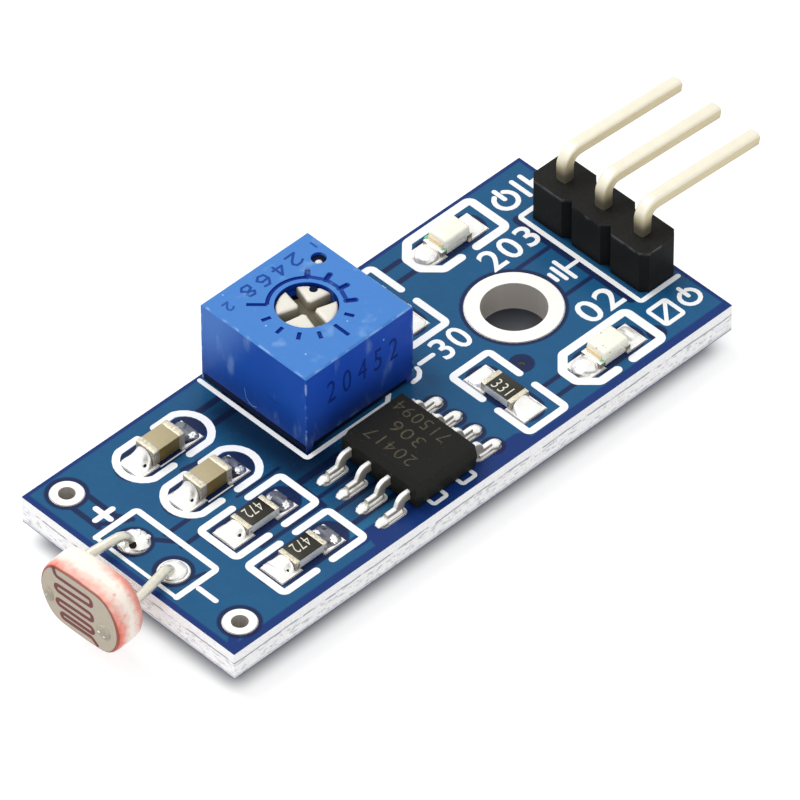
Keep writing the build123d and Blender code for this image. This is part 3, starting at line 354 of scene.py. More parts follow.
def specks(graph: Graph, place: Socket, scale: float, share: float, size: float = 0.25) -> Socket:
    """A mask of scattered specks.

    Args:
        graph: the material's graph.
        place: the object coordinate.
        scale: how many cells there are to a metre.
        share: share of the cells that carry a speck.
        size: a speck's radius, as a share of its cell.

    Returns:
        The mask.
    """
    inputs = {"Vector": place, "Scale": scale, "Share": share, "Size": size}
    return graph.group(Shared.specks(), inputs).outputs[0]


def strokes(graph: Graph, place: Socket, lines: Iterable[Line], soft: float, full: float = 0.0) -> Fed:
    """A mask over straight lines on the board.

    Args:
        graph: the material's graph.
        place: the object coordinate.
        lines: start, end and width of each line.
        soft: half of the width over which a line's edge fades.
        full: the width below which lines are fainter, 0 for none.

    Returns:
        The mask.
    """
    total: Fed = 0.0
    for start, end, width in lines:
        ends = {"Start": on_board(*start, 0.0) * MM, "End": on_board(*end, 0.0) * MM}
        inputs = {"Vector": place, "Half Width": width / 2 * MM, "Soft": soft * MM, **ends}
        mask = graph.group(Shared.stroke(), inputs).outputs[0]
        if width < full:
            mask = graph.times(mask, width / full)
        total = graph.math("MAXIMUM", mask, total)
    return total


# Finishes


@dataclass(frozen=True)
class Finish:
    """A finish with fine grain, such as plastic or dull metal. Its colours are display colours.

    Args:
        name: the material's name.
        color: its colour.
        roughness: its mean roughness.
        metallic: 1 for bare metal.
        scale: the grain's frequency, per metre.
        variation: how far the colour strays.
        bump: the strength of the relief.
        height: the depth of the relief, in metres.
        specks: share of the surface cells that carry a speck.
        speck_color: the specks' colour.
        specular: the shader's specular level.
        cloudy: how far light spreads under the surface, 0 to 1.
    """

    name: str
    color: Rgb
    roughness: float = 0.5
    metallic: float = 0.0
    scale: float = 3000.0
    variation: float = 0.15
    bump: float = 0.3
    height: float = 0.00001
    specks: float = 0.0
    speck_color: Rgb = (200, 200, 195)
    specular: float = 0.5
    cloudy: float = 0.0

    def tint(self, graph: Graph, color: Socket, place: Socket) -> Socket:
        """The grained colour with the finish's own marks. A plain finish has none.

        Args:
            graph: the material's graph.
            color: the grained colour.
            place: the object coordinate, in metres of the CAD frame.

        Returns:
            The marked colour.
        """
        return color

    def material(self) -> bpy.types.Material:
        """The finish's material, built at its first use."""
        title = f"{self.name}_finish"
        if title not in bpy.data.materials:
            made = bpy.data.materials.new(title)
            made.use_nodes = True
            self._shade(Graph(made.node_tree), made.node_tree.nodes["Principled BSDF"].inputs)
        return bpy.data.materials[title]

    def _shade(self, graph: Graph, shader: bpy.types.NodeInputs) -> None:
        """Grain for colour, roughness and relief, then specks over the colour."""
        place = graph.place()
        inputs = {
            "Color": srgb(self.color), "Vector": place, "Scale": self.scale, "Variation": self.variation,
            "Bump": self.bump, "Height": self.height,
        }
        grain = graph.group(Shared.grain(), inputs).outputs
        color = self.tint(graph, grain["Color"], place)
        if self.specks:
            color = graph.lay(color, specks(graph, place, self.scale * 1.5, self.specks), self.speck_color)
        spread = 0.3
        rough = graph.math("MULTIPLY_ADD", grain["Value"], spread, self.roughness - spread / 2, clamp=True)
        for name, value in (
            ("Base Color", color), ("Roughness", rough), ("Normal", grain["Normal"]),
            ("Metallic", self.metallic), ("Specular IOR Level", self.specular),
            ("Subsurface Weight", self.cloudy), ("Subsurface Scale", 0.0006),
            ("Subsurface Radius", (1.0, 0.95, 0.85)),
        ):
            graph.feed(shader[name], value)

    def give(self, target: bpy.types.Object) -> None:
        """Makes this the object's only material."""
        target.data.materials.clear()
        target.data.materials.append(self.material())
        for polygon in target.data.polygons:
            polygon.material_index = 0


@dataclass(frozen=True)
class SideShaded(Finish):
    """A finish with painted shade on its upright sides, darker than its level tops, such as solder or a
    plated hole.

    Args:
        side_shade: the painted shade where the surface stands upright.
        low: the level below which the painted shade is full.
        high: the level above which the main colour is full.
        stray: how uneven the change between them is.
    """

    side_shade: Rgb = (110, 105, 98)
    low: float = 0.3
    high: float = 0.9
    stray: float = 0.3

    def tint(self, graph: Graph, color: Socket, place: Socket) -> Socket:
        """Paints shade on upright sides: mixes the darker side colour in by the surface's slope."""
        inputs = {
            "Vector": place, "Normal": graph.normal(), "Low": self.low, "High": self.high,
            "Stray": self.stray,
        }
        # Painted shade: upright faces take the darker side colour.
        return graph.mix(graph.group(Shared.slope(), inputs).outputs[0], srgb(self.side_shade), color)


@dataclass(frozen=True)
class RimLitBlock(SideShaded):
    """Black plastic with a painted highlight along its top edges.

    Args:
        pale_edge: colour of the painted highlight.
    """

    pale_edge: Rgb = (104, 105, 104)

    def tint(self, graph: Graph, color: Socket, place: Socket) -> Socket:
        """Paints a highlight as a broken line just under the block's top."""
        color = super().tint(graph, color, place)
        under_top = graph.step(graph.parts(place)[2], HEADER_TOP - 0.00024, HEADER_TOP - 0.00006)
        upright = graph.step(graph.parts(graph.normal())[2], 0.6, 0.3)
        broken = graph.step(graph.noise(place, 1300.0, 4.0), 0.4, 0.6)
        # Painted highlight along the top edges.
        return graph.lay(color, graph.times(under_top, upright, broken), self.pale_edge, 0.6)


@dataclass(frozen=True)
class PinPlate(SideShaded):
    """Pale plate of the header's pins, which mirrors the black block at its foot.

    Args:
        mirrored: colour of the block's reflection.
    """

    mirrored: Rgb = (58, 56, 52)

    def tint(self, graph: Graph, color: Socket, place: Socket) -> Socket:
        """Darkens the pins just above the block."""
        color = super().tint(graph, color, place)
        foot = graph.step(graph.parts(place)[2], HEADER_TOP + 0.0012, HEADER_TOP + 0.0003)
        return graph.lay(color, foot, self.mirrored, 0.85)


@dataclass(frozen=True)
class CopperMask(Finish):
    """Glossy blue mask: a copper pour, bare gaps, rings round the lands, a bare edge and patches of painted
    shade.

    Args:
        bare: colour of the mask over bare laminate.
        edge: the same along the board's edges.
        cloud: the same where the pour is lighter by patches.
        pale: the same in the brighter lines of the pour.
        shaded: colour of the patches of painted shade.
        gaps: start, end and width of each bare line on the board.
        rings: centre and outer radius of each bare ring.
        bands: start, end and width of each wide bare band at an edge.
        bright: start, end and width of each brighter patch of pour.
        shades: near left and far right corner of each patch of painted shade, its softness and strength.
    """

    bare: Rgb = (24, 24, 66)
    edge: Rgb = (22, 52, 114)
    cloud: Rgb = (24, 96, 140)
    pale: Rgb = (44, 120, 160)
    shaded: Rgb = (4, 14, 36)
    gaps: tuple[Line, ...] = ()
    rings: tuple[tuple[Flat, float], ...] = ()
    bands: tuple[Line, ...] = ()
    bright: tuple[Line, ...] = ()
    shades: tuple[tuple[Flat, Flat, float, float], ...] = ()

    def tint(self, graph: Graph, color: Socket, place: Socket) -> Socket:
        """Lays the pour's patches, the gaps, the edges and the patches of painted shade over the mask's
        colour.
        """
        cloud = graph.step(graph.noise(place, 160.0, 2.0), 0.35, 0.7)
        color = graph.lay(color, cloud, self.cloud, 0.16)
        color = graph.lay(color, strokes(graph, place, self.bright, 0.12), self.pale, 0.45)
        color = graph.lay(color, strokes(graph, place, self.bands, 0.06), self.edge)
        dots = [(centre, centre, 2 * radius) for centre, radius in self.rings]
        color = graph.lay(color, strokes(graph, place, [*dots, *self.gaps], 0.05), self.bare, 0.85)
        # Painted shade under and beside the trimmer, chip and header.
        for low, high, soft, strength in self.shades:
            corners = on_board(*low) * MM, on_board(*high) * MM
            patch = graph.rectangle(place, *(corner.xy for corner in corners), soft * MM, soft * MM)
            color = graph.lay(color, patch, self.shaded, strength)
        return color


@dataclass(frozen=True)
class SawnLaminate(Finish):
    """Rough pale board edge with a thin dark score line, streaks and flecks.

    Args:
        score: height of the score line above the underside, in metres.
        streak: colour of the streaks.
        foot: colour low on the edge.
        cut: colour of the score line.
        fleck: colour of the flecks.
    """

    score: float = 0.00098
    streak: Rgb = (150, 154, 164)
    foot: Rgb = (150, 154, 166)
    cut: Rgb = (106, 110, 120)
    fleck: Rgb = (90, 94, 104)

    def tint(self, graph: Graph, color: Socket, place: Socket) -> Socket:
        """Streaks along the edge, darker flecks and the score line."""
        height = graph.parts(place)[2]
        lower = graph.fit(graph.step(height, 0.00105, 0.00085), 0.5, 0.06)
        streaks = graph.noise(graph.vector("MULTIPLY", place, (0.7, 0.7, 2.2)), 3800.0, 9.0)
        color = graph.lay(color, graph.times(graph.step(streaks, 0.52, 0.66), lower), self.streak)
        color = graph.lay(color, graph.step(height, 0.0003, 0.00008), self.foot, 0.5)
        wander = graph.sway(graph.noise(place, 700.0, 5.0), 0.00026)
        line = graph.step(graph.apart(graph.math("ADD", height, wander), self.score), 0.00008, 0.00001)
        broken = graph.step(graph.noise(place, 1300.0), 0.36, 0.5)
        color = graph.lay(color, graph.times(line, broken), self.cut, 0.8)
        denser = graph.fit(graph.step(height, 0.001, 0.0007), 0.3, 0.15)
        return graph.lay(color, graph.times(specks(graph, place, 5200.0, 0.06, 0.26), denser), self.fleck)


@dataclass(frozen=True)
class CellCoat(Finish):
    """Cream coat of the cell with orange red at its front rim and low on its back rim.

    Args:
        origin: centre of the cell's face.
        outward: the face's outward axis.
        rim: colour of the stained rims.
        brown: colour of the thin line where the coat meets the face.
    """

    origin: Point = (0.0, 0.0, 0.0)
    outward: Point = (-1.0, 0.0, 0.0)
    rim: Rgb = (232, 96, 68)
    brown: Rgb = (110, 44, 34)

    def tint(self, graph: Graph, color: Socket, place: Socket) -> Socket:
        """Stains by depth behind the face, broken up by noise, with dots and a thin line."""
        away = graph.vector("SUBTRACT", place, Vector(self.origin) * MM)
        depth = graph.vector("DOT_PRODUCT", away, -Vector(self.outward), 1)
        side, height = graph.parts(away)[1:]
        cloud = graph.sway(graph.noise(place, 620.0, 4.0))
        fine = graph.sway(graph.noise(place, 3600.0, 3.0))
        reach = graph.fit(fine, 0.0006, graph.fit(cloud, 0.0007, depth))
        front = graph.times(graph.step(reach, 0.00085, -0.0001), self._strength(graph, side, height))
        lower = graph.step(graph.fit(height, -0.4, side), -0.0002, -0.0022)
        back = graph.times(graph.step(reach, 0.0009, 0.00155), lower, 0.75)
        stain = graph.math("POWER", graph.math("MAXIMUM", front, back), 0.95)
        dots = graph.times(specks(graph, place, 2600.0, 0.05, 0.22), 0.5)
        color = graph.lay(color, graph.math("MAXIMUM", stain, dots), self.rim)
        return graph.lay(color, graph.step(graph.fit(cloud, 0.0002, depth), 0.0001, 0.00003), self.brown, 0.8)

    def _strength(self, graph: Graph, side: Socket, height: Socket) -> Socket:
        """How strong the front stain is: stronger at the far side and low on the near side."""
        low_near = graph.fit(side, -0.8, graph.times(height, -0.6))
        strong = graph.math("MAXIMUM", graph.step(side, 0.0004, 0.0018), graph.step(low_near, 0.0006, 0.002))
        return graph.fit(strong, 0.28, 0.72)


@dataclass(frozen=True)
class Moulding(Finish):
    """The trimmer's blue plastic: painted shade on its sides and in the engraving in its top, scuffed edges
    and faint scratches.

    Args:
        engraved: painted shade at the bottom of the engraving.
        drawn: painted shade in the engraved strokes.
        scuff: colour of the scuffed edges.
        left: painted shade of the sides that face along the board.
        lit: the same where they catch the light.
        near: painted shade of the sides that face across it.
        foot: darker painted shade and reflection low on those sides.
        cloud: colour of the cloudy patches of the sides.
        half: half of the housing's side, in metres.
        dial: radius of the engraved dial, in metres.
        engraving: start, end and width of each shallow stroke in the top.
    """

    engraved: Rgb = (10, 44, 132)
    drawn: Rgb = (12, 50, 138)
    scuff: Rgb = (170, 205, 240)
    left: Rgb = (20, 76, 170)
    lit: Rgb = (76, 126, 202)
    near: Rgb = (30, 76, 182)
    foot: Rgb = (10, 38, 104)
    cloud: Rgb = (50, 96, 190)
    half: float = 0.0034
    dial: float = 0.003
    engraving: tuple[Line, ...] = ()

    def tint(self, graph: Graph, color: Socket, place: Socket) -> Socket:
        """Paints shade on the sides and in the engraving, and scuffs the edges."""
        normal = graph.parts(graph.normal())
        side = self._side(graph, place, graph.step(graph.math("ABSOLUTE", normal[1]), 0.35, 0.65))
        # Painted shade: the sides are darker than the lit top.
        color = graph.mix(graph.step(normal[2], 0.25, 0.6), side, color)
        color = self._engrave(graph, color, place)
        pale_edge = graph.step(graph.noise(place, 1500.0, 5.0), 0.45, 0.62)
        color = graph.lay(color, graph.times(self._edges(graph, place), pale_edge), self.scuff, 0.8)
        smear = graph.noise(graph.vector("MULTIPLY", place, (1.0, 1.0, 0.35)), 900.0, 6.0)
        color = graph.lay(color, graph.step(smear, 0.57, 0.74), self.scuff, 0.25)
        return graph.lay(color, specks(graph, place, 2100.0, 0.07, 0.1), self.scuff, 0.75)

    def _side(self, graph: Graph, place: Socket, across: Socket) -> Socket:
        """Painted shade on the upright sides, darker to the foot, with a painted highlight far up on the left
        side.
        """
        y, z = graph.parts(place)[1:]
        fall = graph.times(graph.step(z, 0.0048, 0.0014), graph.fit(across, 0.35, 0.5))
        side = graph.lay(graph.mix(across, srgb(self.left), srgb(self.near)), fall, self.foot)
        far_up = graph.step(graph.fit(z, 0.474, y), 0.0058, 0.0086)
        lit = graph.times(far_up, graph.math("SUBTRACT", 1.0, across), graph.step(z, 0.0014, 0.0056))
        side = graph.lay(side, lit, self.lit, 0.85)
        return graph.lay(side, graph.step(graph.noise(place, 420.0, 3.0), 0.45, 0.75), self.cloud, 0.2)

    def _engrave(self, graph: Graph, color: Socket, place: Socket) -> Socket:
        """Paints shade in the strokes and on the dial's floor."""
        z = graph.parts(place)[2]
        top = TRIMMER_TOP * MM
        marks = strokes(graph, place, self.engraving, 0.02, 0.1429)
        marks = graph.times(marks, graph.step(z, top - 0.00006, top - 0.00003))
        # Painted shade in the engraved strokes.
        color = graph.lay(color, marks, self.drawn, 0.9)
        flat = graph.vector("MULTIPLY", place, (1.0, 1.0, 0.0))
        reach = graph.vector("DISTANCE", flat, Vector((*TRIMMER_CENTRE, 0.0)) * MM, 1)
        inside = graph.step(reach, self.dial + 0.00002, self.dial - 0.00002)
        below = graph.step(z, top - 0.00002, top - 0.00005)
        above = graph.step(z, top - 0.0005, top - 0.0004)
        # Painted shade on the dial's recessed floor.
        return graph.lay(color, graph.times(below, inside, above), self.engraved)

    def _edges(self, graph: Graph, place: Socket) -> Socket:
        """A mask along the housing's upright corners and its top edges."""
        x, y, z = graph.parts(place)
        near_x = graph.step(graph.apart(x, TRIMMER_CENTRE[0] * MM), self.half - 0.0001, self.half)
        near_y = graph.step(graph.apart(y, TRIMMER_CENTRE[1] * MM), self.half - 0.00005, self.half + 0.00006)
        near_top = graph.step(z, (TRIMMER_TOP - 0.1) * MM, (TRIMMER_TOP - 0.03) * MM)
        pair = graph.math("MAXIMUM", graph.times(near_x, near_y), graph.times(near_top, near_x))
        return graph.math("MAXIMUM", pair, graph.times(near_top, near_y))


# Meshes


class Paths:
    """The Geometry Nodes trees that turn paths into solid lines, each built once."""

    @staticmethod
    def _group(name: str, floats: dict[str, float], inputs: Sequence[tuple] = ()) -> Group:
        """A tree in the making, with its sizes as inputs.

        Args:
            name: the tree's name.
            floats: default value of each size, by name.
            inputs: name, kind and default value of any other input.

        Returns:
            The tree, with its inputs and its output.
        """
        sizes = [(label, "Float", default) for label, default in floats.items()]
        given = [("Geometry", "Geometry", None), *sizes, *inputs, ("Material", "Material", None)]
        return Group(name, "GeometryNodeTree", given, [("Geometry", "Geometry")])

    @staticmethod
    def _rounded(group: Group, curve: Socket, radius: Socket, steps: int, limit: bool = True) -> Socket:
        """A curve with its corners rounded in a number of steps."""
        inputs = {"Curve": curve, "Radius": radius, "Limit Radius": limit, "Count": steps}
        return group.node("GeometryNodeFilletCurve", inputs, mode="POLY").outputs[0]

    @classmethod
    def _path(cls, group: Group, steps: int) -> Socket:
        """The edges that the tree is run on, as a curve with rounded corners."""
        line = group.node("GeometryNodeMeshToCurve", {0: group.given["Geometry"]}).outputs[0]
        return cls._rounded(group, line, group.given["Fillet"], steps)

    @staticmethod
    def _swept(group: Group, curve: Socket, profile: Socket, caps: bool) -> Socket:
        """A profile swept along a curve."""
        inputs = {"Curve": curve, "Profile Curve": profile, "Fill Caps": caps}
        return group.node("GeometryNodeCurveToMesh", inputs).outputs[0]

    @staticmethod
    def _end(group: Group, geometry: Socket) -> Tree:
        """Ends the tree with real geometry in the given material."""
        real = group.node("GeometryNodeRealizeInstances", {0: geometry}).outputs[0]
        inputs = {"Geometry": real, "Material": group.given["Material"]}
        group.feed(group.out["Geometry"], group.node("GeometryNodeSetMaterial", inputs).outputs[0])
        return group.tree

    @classmethod
    @cache
    def ribbon(cls) -> Tree:
        """Flat lines of ink or film: rounded corners, and a disc at each end."""
        group = cls._group("Ribbon", {"Width": 0.38, "Height": 0.02, "Fillet": 0.2})
        given = group.given
        up = group.node("GeometryNodeSetCurveNormal", {"Curve": cls._path(group, 6)}, mode="Z_UP").outputs[0]
        sizes = {"Width": given["Width"], "Height": given["Height"]}
        profile = group.node("GeometryNodeCurvePrimitiveQuadrilateral", sizes).outputs[0]
        swept = cls._swept(group, up, profile, False)
        lower = group.math("SUBTRACT", given["Height"], 0.002)
        radius = group.math("MULTIPLY", given["Width"], 0.5)
        disc = group.node("GeometryNodeMeshCylinder", {"Vertices": 20, "Depth": lower, "Radius": radius})
        ends = group.node("GeometryNodeCurveEndpointSelection").outputs[0]
        stamps = {"Points": up, "Selection": ends, "Instance": disc.outputs["Mesh"]}
        stamped = group.node("GeometryNodeInstanceOnPoints", stamps).outputs[0]
        joined = group.node("GeometryNodeJoinGeometry")
        for geometry in (stamped, swept):
            group.feed(joined.inputs[0], geometry)
        return cls._end(group, joined.outputs[0])

    @classmethod
    @cache
    def wire(cls) -> Tree:
        """Round wires with rounded bends and closed ends."""
        group = cls._group("Wire", {"Radius": 0.25, "Fillet": 0.6})
        inputs = {"Resolution": 20, "Radius": group.given["Radius"]}
        ring = group.node("GeometryNodeCurvePrimitiveCircle", inputs).outputs[0]
        return cls._end(group, cls._swept(group, cls._path(group, 8), ring, True))

    @classmethod
    @cache
    def bent_strips(cls) -> Tree:
        """A row of flat strips bent along one path and set side by side along Y."""
        floats = {"Width": 0.42, "Thickness": 0.2, "Edge": 0.04, "Fillet": 0.2, "Pitch": 1.27}
        group = cls._group("Bent Strips", floats, [("Count", "Int", 4)])
        given = group.given
        sizes = {"Width": given["Thickness"], "Height": given["Width"]}
        profile = group.node("GeometryNodeCurvePrimitiveQuadrilateral", sizes).outputs[0]
        soft = cls._rounded(group, profile, given["Edge"], 3, False)
        swept = cls._swept(group, cls._path(group, 6), soft, True)
        step = group.node("ShaderNodeCombineXYZ", {"Y": given["Pitch"]}).outputs[0]
        row = group.node("GeometryNodeMeshLine", {"Count": given["Count"], "Offset": step}).outputs[0]
        copies = group.node("GeometryNodeInstanceOnPoints", {"Points": row, "Instance": swept}).outputs[0]
        return cls._end(group, copies)


def as_mesh(holder: bpy.types.Object) -> bpy.types.Mesh:
    """An object's evaluated shape as a plain mesh. The object is removed."""
    bpy.context.scene.collection.objects.link(holder)
    made = bpy.data.meshes.new_from_object(holder.evaluated_get(bpy.context.evaluated_depsgraph_get()))
    bpy.data.objects.remove(holder)
    return made


class Clay:
    """A mesh in the making, in millimetres, with a finish for each face."""

    def __init__(self) -> None:
        """Starts with an empty mesh and no finish."""
        self.mesh = bmesh.new()
        self.finishes: list[Finish] = []

    def _index(self, finish: Finish) -> int:
        """The finish's place in the mesh's list, which it joins at its first use."""
        if finish not in self.finishes:
            self.finishes.append(finish)
        return self.finishes.index(finish)

    def add(self, part: Part, finish: Finish, place: Matrix = Matrix(), smooth: bool = True) -> None:
        """Joins a part in its place, then frees it.

        Args:
            part: the part's mesh.
            finish: the finish of all its faces.
            place: the part's axes.
            smooth: whether its faces are shaded smooth.
        """
        index = self._index(finish)
        for face in part.faces:
            face.material_index = index
            face.smooth = smooth
        part.transform(place)
        holder = bpy.data.meshes.new("part")
        part.to_mesh(holder)
        part.free()
        self.mesh.from_mesh(holder)
        bpy.data.meshes.remove(holder)

    def absorb(self, mesh: bpy.types.Mesh, finish: Finish, place: Matrix, smooth: bool = False) -> None:
        """Joins a plain mesh in its place as add does, then removes it."""
        part = bmesh.new()
        part.from_mesh(mesh)
        bpy.data.meshes.remove(mesh)
        self.add(part, finish, place, smooth)

    def run(
        self, tree: Tree, points: Sequence[Point], finish: Finish, place: Matrix = Matrix(),
        smooth: bool = False, closed: bool = False, **sizes: float,
    ) -> None:
        """Runs a Geometry Nodes tree over a path and joins the result.

        Args:
            tree: the tree to run.
            points: the path's points.
            finish: the finish of all its faces.
            place: the result's axes.
            smooth: whether its faces are shaded smooth.
            closed: whether the path runs back to its first point.
            **sizes: the tree's inputs by name.
        """
        count = len(points)
        edges = [(k, (k + 1) % count) for k in range(count if closed else count - 1)]
        path = bpy.data.meshes.new("path")
        path.from_pydata([tuple(point) for point in points], edges, [])
        holder = bpy.data.objects.new("path", path)
        modifier = holder.modifiers.new("build", "NODES")
        modifier.node_group = tree
        values = {"Material": finish.material(), **sizes}
        for item in tree.interface.items_tree:
            if item.item_type == "SOCKET" and item.in_out == "INPUT" and item.name in values:
                modifier[item.identifier] = values[item.name]
        made = as_mesh(holder)
        bpy.data.meshes.remove(path)
        self.absorb(made, finish, place, smooth)

    def publish(
        self, name: str, slot: str, replaces: Sequence[str] = (), body: Body = Body.BOARD,
        crease: float = 35.0,
    ) -> bpy.types.Object:
        """Turns the mesh into a finished object of the scene.

        Args:
            name: the object's name.
            slot: its material slot; not used.
            replaces: the CAD nodes that it takes the place of.
            body: the body that it rides on.
            crease: the angle in degrees above which an edge stays sharp.

        Returns:
            The object, which sits at the origin.
        """
        mesh = bpy.data.meshes.new(name)
        self.mesh.transform(Matrix.Scale(MM, 4))
        self.mesh.to_mesh(mesh)
        self.mesh.free()
        for finish in self.finishes:
            mesh.materials.append(finish.material())
        mesh.set_sharp_from_angle(angle=math.radians(crease))
        made = bpy.data.objects.new(name, mesh)
        bpy.context.scene.collection.objects.link(made)
        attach(made, body.value)
        if replaces:
            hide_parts(*replaces)
        LOG.info("%s: %d faces", name, len(mesh.polygons))
        return made


def rounded_box(low: Point, high: Point, round_by: float = 0.03, steps: int = 2) -> Part:
    """A box with its edges rounded.

    Args:
        low: its lowest corner.
        high: its highest corner.
        round_by: how much of each edge is rounded off.
        steps: how many faces round an edge off.

    Returns:
        The box.
    """
    part = bmesh.new()
    bmesh.ops.create_cube(part, size=1.0)
    low, high = Vector(low), Vector(high)
    size = high - low
    for vertex in part.verts:
        vertex.co = low + Vector((vertex.co[k] + 0.5) * size[k] for k in range(3))
    if round_by > 0:
        bmesh.ops.bevel(
            part, geom=list(part.edges), offset=round_by, segments=steps, profile=0.5, affect="EDGES",
            clamp_overlap=True,
        )
    return part


def slab(length: Flat, half_width: float, height: Flat, round_by: float = 0.03, steps: int = 2) -> Part:
    """A rounded box astride the X axis, from its ends, half width, foot and top."""
    low, high = sorted(length)
    return rounded_box((low, -half_width, height[0]), (high, half_width, height[1]), round_by, steps)


def sheet(spot: Callable[[float, float], Point], columns: int, rows: int) -> Part:
    """A curved sheet through a grid of points.

    Args:
        spot: the point at two shares of 0 to 1, along and across.
        columns: steps along.
        rows: steps across.

    Returns:
        The sheet, facing the side that along turned towards across gives.
    """
    part = bmesh.new()
    across = [j / rows for j in range(rows + 1)]
    grid = [[part.verts.new(spot(i / columns, share)) for share in across] for i in range(columns + 1)]
    for i in range(columns):
        for j in range(rows):
            part.faces.new((grid[i][j], grid[i + 1][j], grid[i + 1][j + 1], grid[i][j + 1]))
    return part


def closed_up(part: Part, merge: float = 1e-4) -> Part:
    """A part with its seams merged and its faces turned outwards."""
    bmesh.ops.remove_doubles(part, verts=list(part.verts), dist=merge)
    bmesh.ops.recalc_face_normals(part, faces=list(part.faces))
    return part


def dome(radii: Point, lumps: float = 0.0, seed: float = 0.0, hollow: float = 0.0) -> Part:
    """Half of a flattened ball that stands on its flat side, uneven if lumps is over 0.

    Args:
        radii: the half axes.
        lumps: how far the surface strays.
        seed: picks the lumps.
        hollow: depth of a dip at the top.

    Returns:
        The half ball, open below.
    """

    def spot(turn: float, rise: float) -> Point:
        """The point at a share of the turn and of the climb to the top."""
        angle = 2 * math.pi * turn
        lift = math.pi / 2 * rise
        way = Vector((math.cos(lift) * math.cos(angle), math.cos(lift) * math.sin(angle), math.sin(lift)))
        stray = 1 + lumps * noise.noise(way * 2.2 + Vector((seed, seed * 0.7, 0)))
        sink = hollow * math.exp(-((1 - rise) / 0.4) ** 2)
        return (radii[0] * way.x * stray, radii[1] * way.y * stray, radii[2] * way.z * stray - sink)

    return closed_up(sheet(spot, 36, 12), 1e-5)


def plate(outline: Sequence[Flat], low: float, high: float) -> Part:
    """An upright sided plate on an outline that runs anticlockwise."""
    part = bmesh.new()
    base = part.faces.new([part.verts.new((x, y, low)) for x, y in outline])
    for item in bmesh.ops.extrude_face_region(part, geom=[base])["geom"]:
        if isinstance(item, bmesh.types.BMVert):
            item.co.z = high
    bmesh.ops.recalc_face_normals(part, faces=list(part.faces))
    return part


def lettering(
    text: str, width: float, height: float, depth: float, spacing: float = 1.1, weight: float = -0.01
) -> bpy.types.Mesh:
    """Plain digits as a thin solid, centred on the origin and read along +X.

    Args:
        text: the characters.
        width: width of the whole text.
        height: height of a digit.
        depth: half of the solid's thickness.
        spacing: letter spacing.
        weight: how much the strokes grow, or shrink below 0, for digits of height 1.

    Returns:
        The solid as a plain mesh.
    """
    curve = bpy.data.curves.new("lettering", "FONT")
    curve.body = text
    curve.extrude = 1.0
    curve.offset = weight
    curve.space_character = spacing
    curve.resolution_u = 4
    made = as_mesh(bpy.data.objects.new("lettering", curve))
    bpy.data.curves.remove(curve)
    low = Vector(min(vertex.co[k] for vertex in made.vertices) for k in range(3))
    high = Vector(max(vertex.co[k] for vertex in made.vertices) for k in range(3))
    size = high - low
    made.transform(Matrix.Translation(-(low + high) / 2))
    made.transform(Matrix.Diagonal((width / size.x, height / size.y, 2 * depth / size.z, 1)))
    return made


def arc(centre: Flat, radius: float, start: float, end: float, steps: int = 10) -> list[Flat]:
    """Points along an arc, its angles in degrees."""
    angles = [math.radians(start + (end - start) * k / steps) for k in range(steps + 1)]
    return [(centre[0] + radius * math.cos(angle), centre[1] + radius * math.sin(angle)) for angle in angles]


def ring(radius: float, count: int, centre: Flat = (0.0, 0.0)) -> list[Flat]:
    """A number of points spaced evenly round a circle."""
    return arc(centre, radius, 0.0, 360.0 * (count - 1) / count, count - 1)


# Board


